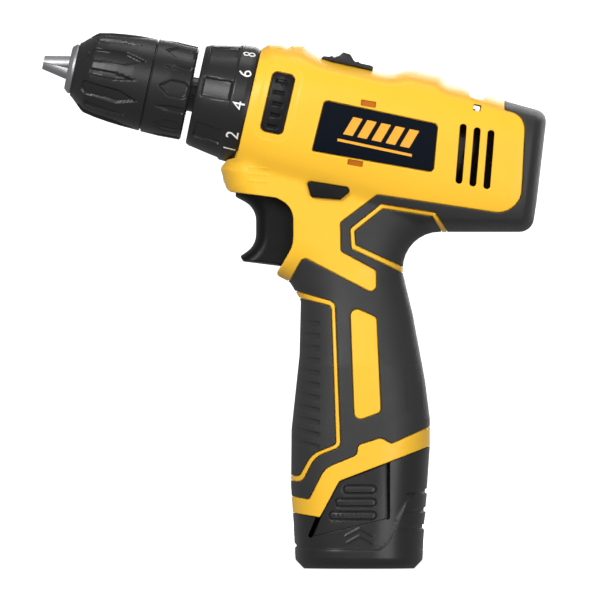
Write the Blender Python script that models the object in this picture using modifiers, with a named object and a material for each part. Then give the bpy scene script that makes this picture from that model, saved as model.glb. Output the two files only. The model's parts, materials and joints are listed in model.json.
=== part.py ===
"""A two-speed cordless drill on a slide-in battery pack, built as separate pieces.

Metres, +Z up. The drill stands on the flat base of its pack, whose centre is the origin.
The front of the drill points along -X and the two housing halves meet on the plane Y = 0.
Side outlines are lists of corners (x, z, corner radius) in millimetres.
Pieces on the drive line hang from the empty "drive_axis": its local +Z runs forward along
the spindle, its local +X points up, and its origin is the rear face of the chuck.
"""

import math

import bmesh
import bpy
from mathutils import Matrix, Vector

MM = 0.001
GAP = 0.3  # clearance between neighbouring pieces, in mm
SIDES = 24  # facets round a turned piece
FINE_SIDES = 30  # facets round the larger turned pieces

# ---- driving dimensions, in millimetres and degrees ------------------------------------
DRIVE_TILT = 12.0  # the spindle points this much above the horizontal
CHUCK_REAR = (-63.75, 178.0)  # x and z of the drive axis at the rear face of the chuck
BARREL_HALF_WIDTH = 24.0
SKIN = 1.4  # thickness of the soft grip skins
POCKET = SKIN + GAP  # depth of the pockets that hold them

GEAR_MODULE = 0.7
SUN_TEETH, PLANET_TEETH, RING_TEETH = 12, 15, 42
PLANET_ORBIT = GEAR_MODULE * (SUN_TEETH + PLANET_TEETH) / 2
TOOTH_SLACK = 0.14  # mm taken off each tooth's thickness at the pitch circle

CASE_OUTER, CASE_INNER = 19.3, 17.8  # gear case radii
GEAR_BORE = CASE_OUTER + GAP  # housing bore round the gear case
MOTOR_RADIUS = 18.2
MOTOR_BORE = MOTOR_RADIUS + GAP

JAW_TILT = 13.0
JAW_RADIUS, JAW_LENGTH = 2.9, 28.0
JAW_TIP = 55.8  # distance of the closed jaws' tips in front of the chuck's rear face
JAW_APEX = 53.74  # where the three jaw axes cross the drive axis

CELL_RADIUS, CELL_LENGTH, CELL_FLOOR = 9.1, 65.0, 4.0
CELL_CENTRES = [(-8.0, 0.0), (7.9, 9.25), (7.9, -9.25)]
TOWER_WALL = 1.4
TOWER_TOP = 71.5  # top of the sleeve round the cells

TRIGGER_HALF_WIDTH = 9.3
TRIGGER_TRAVEL = 5.5
TRIGGER_CLEARANCE = 1.3  # room left behind the trigger when it is pulled in
TRIGGER_TILT = 8.5  # the trigger slides back and this much downwards

# ---- side outlines, in millimetres: (x, z, corner radius) --------------------------------
BODY_OUTLINE = [
    (-36.5, 194.6, 0.6), (-33.6, 196.3, 1.0), (-28.6, 196.2, 1.0), (-26.9, 194.6, 0.8),
    (-24.6, 196.0, 0.8), (-20.6, 195.7, 2.0), (-14.5, 191.1, 3.0), (6.0, 186.5, 4.0),
    (12.2, 185.0, 5.0), (18.6, 186.9, 3.0), (31.0, 184.1, 1.5), (33.4, 181.3, 1.2),
    (40.0, 179.8, 1.2), (42.4, 176.9, 0.8), (46.4, 175.9, 0.4), (48.2, 177.1, 0.8),
    (53.5, 175.5, 0.6), (70.6, 170.8, 4.5), (66.6, 137.0, 3.0), (64.9, 126.0, 5.5),
    (16.5, 126.0, 11.0), (16.5, 110.5, 3.0), (20.2, 95.1, 3.0), (24.8, 70.3, 5.0),
    (26.6, 56.0, 3.0), (26.6, 45.9, 0.0), (-7.4, 32.9, 2.5), (-14.6, 19.2, 0.6),
    (-25.4, 20.9, 0.0), (-25.3, 52.0, 4.0), (-22.3, 80.0, 5.0), (-21.8, 100.5, 4.0),
    (-26.0, 107.3, 3.0), (-31.4, 110.0, 1.6), (-28.6, 114.2, 2.0), (-24.6, 121.0, 6.0),
    (-24.6, 135.4, 5.0), (-31.0, 138.8, 1.0), (-49.4, 141.2, 3.0), (-52.0, 150.0, 2.0),
    (-49.4, 153.0, 2.0), (-45.8, 153.9, 0.0),
]
GRIP_OUTLINE = [
    (54.4, 180.0, 0.0), (54.4, 171.6, 0.4), (62.2, 169.6, 7.0), (60.4, 131.8, 9.0),
    (6.8, 139.9, 1.5), (-7.0, 129.5, 1.5), (-6.8, 118.6, 1.5), (6.5, 111.5, 2.2),
    (6.5, 102.4, 2.2), (-20.9, 116.6, 2.0), (-25.7, 108.2, 0.5),
    (-30.0, 105.6, 0.0), (-9.0, 99.7, 3.0), (-6.9, 45.6, 3.0), (-16.5, 41.9, 5.0),
    (-21.4, 32.2, 1.5), (-32.0, 34.4, 0.0), (-32.0, 28.0, 0.0), (-18.7, 26.0, 0.6),
    (-12.9, 37.6, 4.0), (-0.8, 42.6, 1.5), (-0.5, 46.3, 1.5), (8.2, 49.0, 2.5),
    (12.0, 46.8, 1.5), (34.0, 56.3, 0.0), (34.0, 90.0, 0.0), (26.0, 106.4, 0.0),
    (-2.9, 119.7, 1.5), (-3.4, 127.1, 1.5), (8.2, 136.4, 1.5), (28.4, 133.2, 1.0),
    (35.2, 122.8, 0.0), (80.0, 118.0, 0.0), (80.0, 180.0, 0.0),
]
GRIP_WINDOW = [
    (-3.4, 98.5, 2.5), (6.6, 94.0, 2.0), (8.2, 58.6, 2.0), (-1.8, 55.0, 2.5),
]
FINGER_PAD_OUTLINE = [
    (-32.0, 104.2, 0.0), (-10.1, 98.5, 2.0), (-8.3, 46.4, 2.0), (-17.5, 42.6, 4.0),
    (-22.3, 33.9, 1.0), (-32.0, 35.9, 0.0),
]
WEB_PAD_OUTLINE = [
    (26.6, 107.8, 0.0), (-1.6, 120.8, 1.0), (-2.0, 126.4, 1.0), (8.8, 135.0, 1.0),
    (27.6, 132.0, 0.6), (33.4, 123.0, 0.0), (34.0, 116.0, 0.0),
]
SIDE_INSERT_OUTLINE = [
    (-32.0, 186.2, 2.0), (-23.6, 184.4, 2.0), (-28.8, 162.0, 2.0), (-37.2, 163.8, 2.0),
]
LABEL_OUTLINE = [
    (-12.9, 175.2, 1.6), (29.4, 166.2, 1.6), (27.7, 148.2, 1.6), (-17.6, 156.2, 0.6),
]
TRIGGER_OUTLINE = [
    (-46.2, 140.2, 0.6), (-45.9, 138.8, 0.8), (-38.6, 135.0, 8.0), (-38.6, 121.0, 8.0),
    (-44.6, 116.9, 0.9), (-43.4, 114.9, 0.9), (-28.2, 113.0, 0.0), (-20.0, 116.4, 1.0),
    (-20.0, 136.8, 1.0),
]
LEVER_OUTLINE = [
    (-19.2, 145.1, 1.0), (-3.1, 142.4, 1.2), (-7.2, 138.3, 0.8), (-17.6, 139.0, 1.0),
]
TAB_OUTLINE = [
    (-13.6, 40.0, 1.0), (9.3, 45.5, 1.0), (9.3, 12.0, 1.0), (-18.6, 12.0, 1.0),
    (-14.6, 20.5, 0.6),
]
VENT_TOPS = [(38.9, 165.0), (44.1, 163.7), (49.3, 162.7)]
VENT_FEET = [(37.3, 145.2), (42.5, 144.2), (47.7, 143.2)]
VENT_HALF_WIDTH = 1.25

# ---- sections of the body, in millimetres ----------------------------------------------
# along the drive axis: (distance behind the chuck, half width, top, bottom)
BARREL_SECTIONS = [
    (20.0, 21.6, 22.6, 24.0), (24.0, 22.6, 23.6, 25.0), (31.0, 23.7, 26.2, 26.5),
    (60.0, BARREL_HALF_WIDTH, 26.6, 27.5), (92.0, BARREL_HALF_WIDTH, 26.4, 31.5),
    (112.0, 23.8, 23.8, 31.0), (126.0, 23.2, 22.6, 28.5), (134.0, 21.6, 21.6, 26.0),
    (140.0, 18.0, 19.5, 23.0),
]
# up the handle: (height, centre x, half length in x, half width in y)
HANDLE_SECTIONS = [
    (0.0, 0.0, 20.8, 18.6), (1.2, 0.0, 22.2, 20.0), (3.6, 0.0, 23.8, 21.4),
    (9.0, 0.0, 24.3, 22.0), (22.0, 0.1, 25.1, 22.9), (46.0, 0.5, 26.3, 23.5),
    (62.0, 0.6, 26.4, 23.5), (76.0, 0.5, 25.2, 23.3), (96.0, -0.6, 23.2, 20.2),
    (110.0, -6.0, 27.0, 18.4), (124.0, -6.0, 36.0, 17.8), (135.5, 0.0, 56.0, 17.55),
    (152.0, 0.0, 58.0, 17.6),
]
SECTION_POWER = 2.5  # superellipse exponent: 2 is an ellipse, larger is squarer
SECTION_POINTS = 24

# ---- screws: (x, z) and the height of the seat under the head, in mm ----------------------
SCREW_PLACES = [
    (-36.5, 146.2, 5.0), (20.0, 182.2, 6.0), (60.5, 130.8, 8.0), (22.0, 62.0, 7.0),
]
SCREW_SHANK, SCREW_HEAD, SCREW_HEAD_HEIGHT, SCREW_BITE = 1.35, 2.6, 2.2, 9.0


# ---- scene helpers -----------------------------------------------------------------------
def clear_scene():
    for old in list(bpy.data.objects):
        bpy.data.objects.remove(old, do_unlink=True)


def new_collection(name):
    collection = bpy.data.collections.new(name)
    bpy.context.scene.collection.children.link(collection)
    return collection


def plain_material(name, colour, roughness, metallic=0.0):
    material = bpy.data.materials.new(name)
    material.use_nodes = True
    shader = material.node_tree.nodes["Principled BSDF"]
    shader.inputs["Base Color"].default_value = (*colour, 1.0)
    shader.inputs["Roughness"].default_value = roughness
    shader.inputs["Metallic"].default_value = metallic
    return material


clear_scene()
PARTS = new_collection("cordless_drill")
YELLOW = plain_material("yellow_plastic", (0.95, 0.56, 0.03), 0.42)
SOFT_BLACK = plain_material("soft_black_rubber", (0.025, 0.025, 0.027), 0.75)
BLACK = plain_material("black_plastic", (0.018, 0.018, 0.02), 0.4)
GREY_PLASTIC = plain_material("grey_plastic", (0.2, 0.2, 0.21), 0.5)
STEEL = plain_material("steel", (0.55, 0.55, 0.56), 0.3, 1.0)
BRIGHT_STEEL = plain_material("bright_steel", (0.75, 0.75, 0.76), 0.18, 1.0)
CELL_WRAP = plain_material("cell_wrap", (0.05, 0.25, 0.6), 0.4)
LABEL_INK = plain_material("label_film", (0.01, 0.012, 0.02), 0.3)
LENS = plain_material("clear_lens", (0.9, 0.92, 0.95), 0.1)
RED_WIRE = plain_material("red_wire", (0.6, 0.02, 0.02), 0.5)
BLACK_WIRE = plain_material("black_wire", (0.02, 0.02, 0.02), 0.5)


def link(name, mesh, material=None, matrix=None):
    """A new object in the drill's collection, with its material and its place."""
    piece = bpy.data.objects.new(name, mesh)
    PARTS.objects.link(piece)
    if material is not None:
        mesh.materials.clear()
        mesh.materials.append(material)
    if matrix is not None:
        piece.matrix_world = matrix
    bpy.context.view_layer.update()
    return piece


def bake(piece):
    """Turns the piece's modifiers, or its curve, into a plain closed mesh."""
    bpy.context.view_layer.update()
    graph = bpy.context.evaluated_depsgraph_get()
    mesh = bpy.data.meshes.new_from_object(piece.evaluated_get(graph))
    shape = bmesh.new()
    shape.from_mesh(mesh)
    bmesh.ops.remove_doubles(shape, verts=shape.verts, dist=0.005 * MM)
    bmesh.ops.recalc_face_normals(shape, faces=shape.faces)
    shape.to_mesh(mesh)
    shape.free()
    name, matrix, parent = piece.name, piece.matrix_world.copy(), piece.parent
    material = piece.data.materials[0] if piece.data.materials else None
    bpy.data.objects.remove(piece, do_unlink=True)
    baked = link(name, mesh, material, matrix)
    if parent is not None:
        baked.parent = parent
        baked.matrix_world = matrix
    return baked


def combine(piece, other, operation, keep_other=False):
    """Joins, cuts or intersects the piece with another one, and gives the result back."""
    modifier = piece.modifiers.new(operation.lower(), "BOOLEAN")
    modifier.operation = operation
    modifier.solver = "EXACT"
    modifier.object = other
    result = bake(piece)
    if not keep_other:
        bpy.data.objects.remove(other, do_unlink=True)
    return result


def cut(piece, *cutters):
    for cutter in cutters:
        piece = combine(piece, cutter, "DIFFERENCE")
    return piece


def join(piece, *others):
    for other in others:
        piece = combine(piece, other, "UNION")
    return piece


def copy_of(piece, name, material=None):
    return link(name, piece.data.copy(), material, piece.matrix_world.copy())


# ---- outlines ----------------------------------------------------------------------------
def inset(corners, distance):
    """The same outline with every side moved inwards by a distance in mm."""
    count = len(corners)
    moved = []
    area = sum(
        corners[i - 1][0] * corners[i][1] - corners[i][0] * corners[i - 1][1] for i in range(count)
    )
    hand = -1 if area > 0 else 1
    for i, (x, z, radius) in enumerate(corners):
        here = Vector((x, z))
        into = (here - Vector(corners[i - 1][:2])).normalized()
        out = (Vector(corners[(i + 1) % count][:2]) - here).normalized()
        into_side = Vector((into.y, -into.x)) * hand
        out_side = Vector((out.y, -out.x)) * hand
        reach = 1.0 + into_side.dot(out_side)
        place = here + (into_side + out_side) * (distance / reach)
        convex = (into.x * out.y - into.y * out.x) * hand < 0
        if radius > 0:
            radius = max(0.2, radius - distance if convex else radius + distance)
        moved.append((place.x, place.y, radius))
    return moved


def rounded(corners):
    """Outline points in millimetres, with an arc at every corner that has a radius."""
    count = len(corners)
    points = []
    for i, (x, z, radius) in enumerate(corners):
        here = Vector((x, z))
        back = Vector(corners[i - 1][:2]) - here
        ahead = Vector(corners[(i + 1) % count][:2]) - here
        half = back.angle(ahead) / 2
        room = 0.49 * min(back.length, ahead.length)
        setback = min(radius / math.tan(half), room) if radius > 0 else 0.0
        if setback < 0.05 or half > math.radians(88):
            points.append((x, z))
            continue
        radius = setback * math.tan(half)
        turn = math.pi - 2 * half
        steps = max(1, round(turn / math.radians(30)))
        start = here + back.normalized() * setback
        centre = here + (back.normalized() + ahead.normalized()).normalized() * (
            radius / math.sin(half)
        )
        arm = start - centre
        side = 1 if back.x * ahead.y - back.y * ahead.x > 0 else -1
        for k in range(steps + 1):
            angle = -side * turn * k / steps
            spun = Matrix.Rotation(angle, 2) @ arm
            points.append((centre.x + spun.x, centre.y + spun.y))
    return points


def plate(name, points, near, far, material=None):
    """A slab of the side outline, from Y = near to Y = far, in millimetres."""
    curve = bpy.data.curves.new(name, "CURVE")
    curve.dimensions = "2D"
    curve.fill_mode = "BOTH"
    curve.extrude = abs(far - near) / 2 * MM
    spline = curve.splines.new("POLY")
    spline.points.add(len(points) - 1)
    for point, (x, z) in zip(spline.points, points):
        point.co = (x * MM, z * MM, 0, 1)
    spline.use_cyclic_u = True
    middle = Matrix.Translation((0, (near + far) / 2 * MM, 0))
    piece = link(name, curve, material, middle @ Matrix.Rotation(math.radians(90), 4, "X"))
    return bake(piece)


def prism(name, corners, near=-40.0, far=40.0, material=None):
    return plate(name, rounded(corners), near, far, material)


def box(name, low, high, material=None):
    """A block between two corners, in millimetres."""
    shape = bmesh.new()
    bmesh.ops.create_cube(shape, size=1.0)
    size = [(b - a) * MM for a, b in zip(low, high)]
    middle = [(a + b) / 2 * MM for a, b in zip(low, high)]
    bmesh.ops.scale(shape, vec=size, verts=shape.verts)
    bmesh.ops.translate(shape, vec=middle, verts=shape.verts)
    mesh = bpy.data.meshes.new(name)
    shape.to_mesh(mesh)
    shape.free()
    return link(name, mesh, material)


# ---- lofted body -------------------------------------------------------------------------
def superellipse(angle, across, up, down):
    """A point of the section: across is its half width, up and down its reach either way."""
    c, s = math.cos(angle), math.sin(angle)
    bulge = 2 / SECTION_POWER
    reach = up if s > 0 else down
    return (
        math.copysign(abs(c) ** bulge, c) * across,
        math.copysign(abs(s) ** bulge, s) * reach,
    )


def loft(name, rings):
    """A closed solid through rings of points, with a flat face at each end."""
    shape = bmesh.new()
    made = [[shape.verts.new(point) for point in ring] for ring in rings]
    count = len(rings[0])
    for low, high in zip(made, made[1:]):
        for i in range(count):
            j = (i + 1) % count
            shape.faces.new((low[i], low[j], high[j], high[i]))
    shape.faces.new(reversed(made[0]))
    shape.faces.new(made[-1])
    bmesh.ops.recalc_face_normals(shape, faces=shape.faces)
    mesh = bpy.data.meshes.new(name)
    shape.to_mesh(mesh)
    shape.free()
    return link(name, mesh)


def section_angles():
    return [2 * math.pi * (k + 0.5) / SECTION_POINTS for k in range(SECTION_POINTS)]


def barrel_form(shrink):
    """The rounded barrel about the drive axis, made smaller all round by shrink mm."""
    rings = []
    for behind, half_width, top, bottom in BARREL_SECTIONS:
        ring = []
        for angle in section_angles():
            y, v = superellipse(angle, half_width - shrink, top - shrink, bottom - shrink)
            ring.append(DRIVE @ Vector((v * MM, y * MM, -behind * MM)))
        rings.append(ring)
    return loft("barrel_form", rings)


def handle_form(shrink):
    """The upright handle, from the pack's base up into the barrel."""
    rings = []
    for z, centre, half_length, half_width in HANDLE_SECTIONS:
        ring = []
        for angle in section_angles():
            y, x = superellipse(
                angle, half_width - shrink, half_length - shrink, half_length - shrink
            )
            ring.append(Vector(((centre + x) * MM, y * MM, z * MM)))
        rings.append(ring)
    return loft("handle_form", rings)


def body_solid(shrink):
    """The whole body: its side outline where that meets its rounded sections."""
    form = join(barrel_form(shrink), handle_form(shrink))
    corners = inset(BODY_OUTLINE, shrink) if shrink else BODY_OUTLINE
    return combine(form, prism("body_side", corners), "INTERSECT")


# ---- drive axis --------------------------------------------------------------------------
def make_drive_axis():
    empty = bpy.data.objects.new("drive_axis", None)
    PARTS.objects.link(empty)
    empty.location = (CHUCK_REAR[0] * MM, 0, CHUCK_REAR[1] * MM)
    empty.rotation_euler = (0, math.radians(DRIVE_TILT - 90), 0)
    bpy.context.view_layer.update()
    return empty


DRIVE_AXIS = make_drive_axis()
DRIVE = DRIVE_AXIS.matrix_world.copy()


def on_drive(piece):
    piece.parent = DRIVE_AXIS
    piece.matrix_parent_inverse = Matrix.Identity(4)
    piece.matrix_basis = Matrix.Identity(4)
    bpy.context.view_layer.update()
    return piece


def drive_box(name, low, high):
    """A block given along the drive's own axes: up, across, and forward of the chuck's rear."""
    return on_drive(box(name, low, high))


def turned(name, profile, material=None, sides=SIDES, closed=True):
    """A turned piece about the drive axis; the profile lists (radius, forward) in mm."""
    mesh = bpy.data.meshes.new(name)
    points = [(r * MM, 0, w * MM) for r, w in profile]
    edges = [(i, i + 1) for i in range(len(points) - 1)]
    if closed:
        edges.append((len(points) - 1, 0))
    mesh.from_pydata(points, edges, [])
    piece = on_drive(link(name, mesh, material))
    screw = piece.modifiers.new("turn", "SCREW")
    screw.axis = "Z"
    screw.steps = sides
    screw.render_steps = sides
    screw.use_merge_vertices = True
    screw.merge_threshold = 0.00002
    return bake(piece)


def tube(name, inner, outer, rear, front, material=None, sides=SIDES):
    return turned(
        name, [(inner, rear), (outer, rear), (outer, front), (inner, front)], material, sides
    )


def rod(name, radius, rear, front, material=None, sides=SIDES):
    return turned(
        name, [(0, rear), (radius, rear), (radius, front), (0, front)], material, sides, False
    )


def pin(name, radius, rear, front, orbit, angle, sides=12):
    """A pin parallel to the drive axis, at an orbit radius and angle in degrees."""
    shape = bmesh.new()
    bmesh.ops.create_cone(
        shape, cap_ends=True, segments=sides, radius1=radius * MM, radius2=radius * MM,
        depth=(front - rear) * MM,
    )
    turn = math.radians(angle)
    place = (orbit * math.cos(turn) * MM, orbit * math.sin(turn) * MM, (rear + front) / 2 * MM)
    bmesh.ops.translate(shape, vec=place, verts=shape.verts)
    mesh = bpy.data.meshes.new(name)
    shape.to_mesh(mesh)
    shape.free()
    return on_drive(link(name, mesh))


# ---- gears -------------------------------------------------------------------------------
def involute(angle):
    return math.tan(angle) - angle


def tooth_points(teeth, slack, add, dedend):
    """Outline of a gear, four points a tooth, in mm. Slack thins every tooth."""
    pitch = GEAR_MODULE * teeth / 2
    pressure = math.radians(25)
    base = pitch * math.cos(pressure)
    half_pitch_tooth = math.pi / (2 * teeth) - slack / (2 * pitch)

    def half_angle(radius):
        lean = math.acos(min(1.0, base / radius))
        return half_pitch_tooth + involute(pressure) - involute(lean)

    tip, root = pitch + add, pitch - dedend
    points = []
    for k in range(teeth):
        middle = 2 * math.pi * k / teeth
        for radius, side in ((root, -1), (tip, -1), (tip, 1), (root, 1)):
            angle = middle + side * half_angle(radius)
            points.append((radius * math.cos(angle), radius * math.sin(angle)))
    return points


def extruded(name, points, rear, front, material=None):
    """A straight bar along the drive axis with the given outline in (up, across) mm."""
    curve = bpy.data.curves.new(name, "CURVE")
    curve.dimensions = "2D"
    curve.fill_mode = "BOTH"
    curve.extrude = (front - rear) / 2 * MM
    spline = curve.splines.new("POLY")
    spline.points.add(len(points) - 1)
    for point, (v, y) in zip(spline.points, points):
        point.co = (v * MM, y * MM, 0, 1)
    spline.use_cyclic_u = True
    piece = on_drive(link(name, curve, material))
    piece.matrix_basis = Matrix.Translation((0, 0, (rear + front) / 2 * MM))
    return bake(piece)


def spur_gear(name, teeth, bore, rear, front, material):
    add, dedend = 0.8 * GEAR_MODULE, 1.1 * GEAR_MODULE
    gear = extruded(name, tooth_points(teeth, TOOTH_SLACK, add, dedend), rear, front, material)
    if bore:
        gear = cut(gear, rod("bore", bore, rear - 1, front + 1, sides=12))
    return gear


def ring_gear(name, rear, front, material):
    """An internal gear: its cutter is an external gear with fat teeth, a space at angle 0."""
    ring = rod(name, CASE_INNER - GAP - 0.1, rear, front, material, sides=FINE_SIDES)
    spaces = tooth_points(RING_TEETH, -TOOTH_SLACK, 1.15 * GEAR_MODULE, 0.75 * GEAR_MODULE)
    return cut(ring, extruded("spaces", spaces, rear - 1, front + 1))


def planet_set(name, rear, front, material):
    """Three planets; each has its own frame on its pin's axis, a tooth pointing outwards."""
    for k in range(3):
        gear = spur_gear(f"{name}_{k + 1}", PLANET_TEETH, 1.85, rear, front, material)
        turn = Matrix.Rotation(math.radians(120 * k), 4, "Z")
        middle = (rear + front) / 2 * MM
        gear.matrix_world = DRIVE @ turn @ Matrix.Translation((PLANET_ORBIT * MM, 0, middle))
        bpy.context.view_layer.update()


# ---- chuck -------------------------------------------------------------------------------
def jaw_reach(forward):
    """Radius of the jaw's outermost line at a distance forward of the chuck's rear face."""
    slope = math.tan(math.radians(JAW_TILT))
    return (JAW_APEX - forward) * slope + JAW_RADIUS / math.cos(math.radians(JAW_TILT))


def jaw_matrix(index):
    """Frame of a jaw: local +Z runs forward along its slanting axis, from the apex."""
    around = Matrix.Rotation(math.radians(90 + 120 * index), 4, "Z")
    apex = Matrix.Translation((0, 0, JAW_APEX * MM))
    lean = Matrix.Rotation(math.radians(-JAW_TILT), 4, "Y")
    return DRIVE @ around @ apex @ lean


def jaw_bar(name, index, radius, rear, front, sides, material=None):
    shape = bmesh.new()
    bmesh.ops.create_cone(
        shape, cap_ends=True, segments=sides, radius1=radius * MM, radius2=radius * MM,
        depth=(front - rear) * MM,
    )
    bmesh.ops.translate(shape, vec=(0, 0, (rear + front) / 2 * MM), verts=shape.verts)
    mesh = bpy.data.meshes.new(name)
    shape.to_mesh(mesh)
    shape.free()
    return link(name, mesh, material, jaw_matrix(index))


def make_jaw(index):
    """A hardened pin, ground to a third of a circle where the three meet."""
    front = (JAW_TIP - JAW_APEX) / math.cos(math.radians(JAW_TILT)) + 3.0
    rear = front - 3.0 - JAW_LENGTH
    jaw = jaw_bar(f"chuck_jaw_{index + 1}", index, JAW_RADIUS, rear, front, 12, BRIGHT_STEEL)
    gap = 0.12
    far = 40.0
    facing = math.radians(90 + 120 * index)
    wedge = []
    for angle, reach in ((0, gap / math.sin(math.radians(60))), (-60, far), (60, far)):
        turn = facing + math.radians(angle)
        shift = gap / math.sin(math.radians(60)) if angle else 0.0
        wedge.append(
            (
                reach * math.cos(turn) + shift * math.cos(facing),
                reach * math.sin(turn) + shift * math.sin(facing),
            )
        )
    return combine(jaw, extruded("jaw_wedge", wedge, 0.0, JAW_TIP), "INTERSECT")


def make_chuck():
    body = turned(
        "chuck_body",
        [
            (4.95, 0.6), (8.6, 0.6), (8.6, 2.8), (13.6, 2.8), (13.6, 17.6), (8.6, 18.4),
            (8.6, 26.0), (11.6, 27.0), (11.6, 33.0), (9.0, 36.0), (9.0, 43.3), (5.2, 43.3),
            (5.2, 13.0), (4.95, 12.0),
        ],
        STEEL,
    )
    for k in range(3):
        body = cut(body, jaw_bar("jaw_bore", k, JAW_RADIUS + GAP, -50.0, 10.0, 12))
    turned(
        "chuck_nose_ring",
        [(7.1, 43.7), (9.3, 43.7), (9.3, 44.6), (7.9, 46.2), (7.1, 46.2)],
        BRIGHT_STEEL,
    )
    turned(
        "chuck_nut",
        [
            (jaw_reach(19.0) + 0.35, 19.0), (14.4, 19.0), (14.4, 25.6),
            (jaw_reach(25.6) + 0.35, 25.6),
        ],
        STEEL,
    )
    turned(
        "chuck_front_sleeve",
        [
            (14.8, 15.4), (17.4, 15.4), (16.9, 22.0), (16.0, 31.0), (15.1, 37.6), (9.9, 43.7),
            (9.4, 43.7), (9.4, 37.2), (12.2, 34.5), (13.2, 30.0), (14.8, 26.2),
        ],
        BLACK,
        sides=FINE_SIDES,
    )
    turned(
        "chuck_rear_sleeve",
        [
            (9.0, 0.3), (17.7, 0.3), (18.0, 1.0), (18.0, 9.0), (17.4, 15.0), (14.6, 15.0),
            (14.6, 2.5), (9.0, 2.5),
        ],
        BLACK,
        sides=FINE_SIDES,
    )
    for k in range(3):
        make_jaw(k)


# ---- gearbox -----------------------------------------------------------------------------
def make_gearbox():
    case = turned(
        "gear_case",
        [
            (9.4, -27.0), (9.4, -4.6), (12.5, -4.6), (12.5, -24.0), (CASE_OUTER, -24.0),
            (CASE_OUTER, -51.9), (CASE_INNER, -51.9), (CASE_INNER, -27.0),
        ],
        GREY_PLASTIC,
    )
    for k in range(3):
        case = cut(case, pin("pin_hole", 1.9, -28.0, -23.0, 15.3, 60 + 120 * k))
    case = cut(case, drive_box("leg_slot", (12.0, -2.4, -49.4), (24.0, 2.4, -42.8)))
    tube("motor_plate", 5.4, CASE_OUTER - 0.1, -54.9, -52.2, GREY_PLASTIC)
    shift_ring = ring_gear("shift_ring_gear", -51.0, -43.2, STEEL)
    cut(shift_ring, tube("groove", 16.4, 20.0, -49.0, -46.0, sides=FINE_SIDES))
    ring_gear("clutch_ring_gear", -39.3, -30.8, STEEL)
    planet_set("first_planet", -49.6, -43.0, STEEL)
    planet_set("second_planet", -38.2, -31.4, STEEL)
    carrier = join(
        rod("first_carrier", 13.2, -42.6, -39.9, STEEL),
        spur_gear("second_sun", SUN_TEETH, 0, -40.4, -31.6, STEEL),
    )
    carrier = join(
        carrier, *[pin("planet_pin", 1.5, -50.2, -42.0, PLANET_ORBIT, 120 * k) for k in range(3)]
    )
    spindle = turned(
        "output_spindle",
        [
            (0, 10.4), (4.4, 10.4), (4.6, 10.0), (4.6, -0.2), (6.6, -0.2), (6.6, -3.8),
            (6.0, -3.8), (6.0, -27.5), (13.0, -27.5), (13.0, -31.0), (0, -31.0),
        ],
        STEEL,
        closed=False,
    )
    join(
        spindle,
        *[pin("planet_pin", 1.5, -38.6, -30.0, PLANET_ORBIT, 120 * k) for k in range(3)],
    )
    tube("spindle_bearing", 6.3, 9.1, -11.5, -4.9, STEEL)


def make_clutch():
    """Turning the collar drives the nut along the neck, which loads the spring."""
    collar = turned(
        "clutch_collar",
        [
            (17.3, -22.9), (21.8, -22.9), (22.2, -20.6), (20.2, -6.2), (18.5, -3.2),
            (13.0, -3.2), (13.0, -5.2), (17.3, -5.2),
        ],
        BLACK,
        sides=FINE_SIDES,
    )
    join(collar, drive_box("collar_key", (15.9, -1.5, -21.9), (18.1, 1.5, -4.9)))
    nut = tube("clutch_nut", 12.9, 16.9, -11.6, -8.0, GREY_PLASTIC)
    cut(nut, drive_box("keyway", (15.4, -2.0, -13.0), (18.4, 2.0, -6.0)))
    make_clutch_spring()
    plate_ring = tube("clutch_plate", 12.9, 16.9, -23.7, -22.3, STEEL)
    join(plate_ring, *[pin("push_pin", 1.5, -30.4, -23.0, 15.3, 60 + 120 * k) for k in range(3)])


def make_clutch_spring():
    wire, coil, turns, steps = 0.95, 14.8, 2.5, 14
    rear, front = -22.0 + wire, -11.9 - wire
    curve = bpy.data.curves.new("clutch_spring", "CURVE")
    curve.dimensions = "3D"
    curve.bevel_depth = wire * MM
    curve.bevel_resolution = 1
    curve.use_fill_caps = True
    spline = curve.splines.new("POLY")
    count = round(turns * steps)
    spline.points.add(count)
    for k, point in enumerate(spline.points):
        angle = 2 * math.pi * k / steps
        along = rear + (front - rear) * k / count
        point.co = (
            coil * math.cos(angle) * MM, coil * math.sin(angle) * MM, along * MM, 1,
        )
    bake(on_drive(link("clutch_spring", curve, STEEL)))


# ---- motor -------------------------------------------------------------------------------
def make_motor():
    turned(
        "motor_can",
        [
            (3.4, -55.2), (MOTOR_RADIUS, -55.2), (MOTOR_RADIUS, -105.0), (16.6, -105.0),
            (16.6, -99.0), (14.2, -98.0), (14.2, -62.0), (16.6, -60.0), (16.6, -56.8),
            (3.4, -56.8),
        ],
        STEEL,
    )
    cap = turned(
        "motor_end_cap",
        [
            (2.2, -105.3), (14.8, -105.3), (14.8, -109.0), (13.0, -111.0), (5.0, -111.0),
            (5.0, -113.0), (2.2, -113.0),
        ],
        BLACK,
    )
    join(cap, *[pin("terminal", 1.2, -114.6, -110.0, 9.0, around) for around in (90, -90)])
    armature = turned(
        "armature",
        [
            (0, -42.9), (1.55, -42.9), (1.55, -66.0), (6.0, -66.5), (13.4, -68.0), (13.4, -92.0),
            (6.0, -94.0), (4.0, -96.0), (4.0, -102.0), (1.9, -102.6), (1.9, -112.0), (0, -112.0),
        ],
        STEEL,
        closed=False,
    )
    slots = 5
    for k in range(slots):
        armature = cut(armature, pin("winding_slot", 1.6, -93.5, -66.6, 13.2, 360 * k / slots, 8))
    spur_gear("motor_pinion", SUN_TEETH, 1.85, -51.6, -43.4, STEEL)


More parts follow.
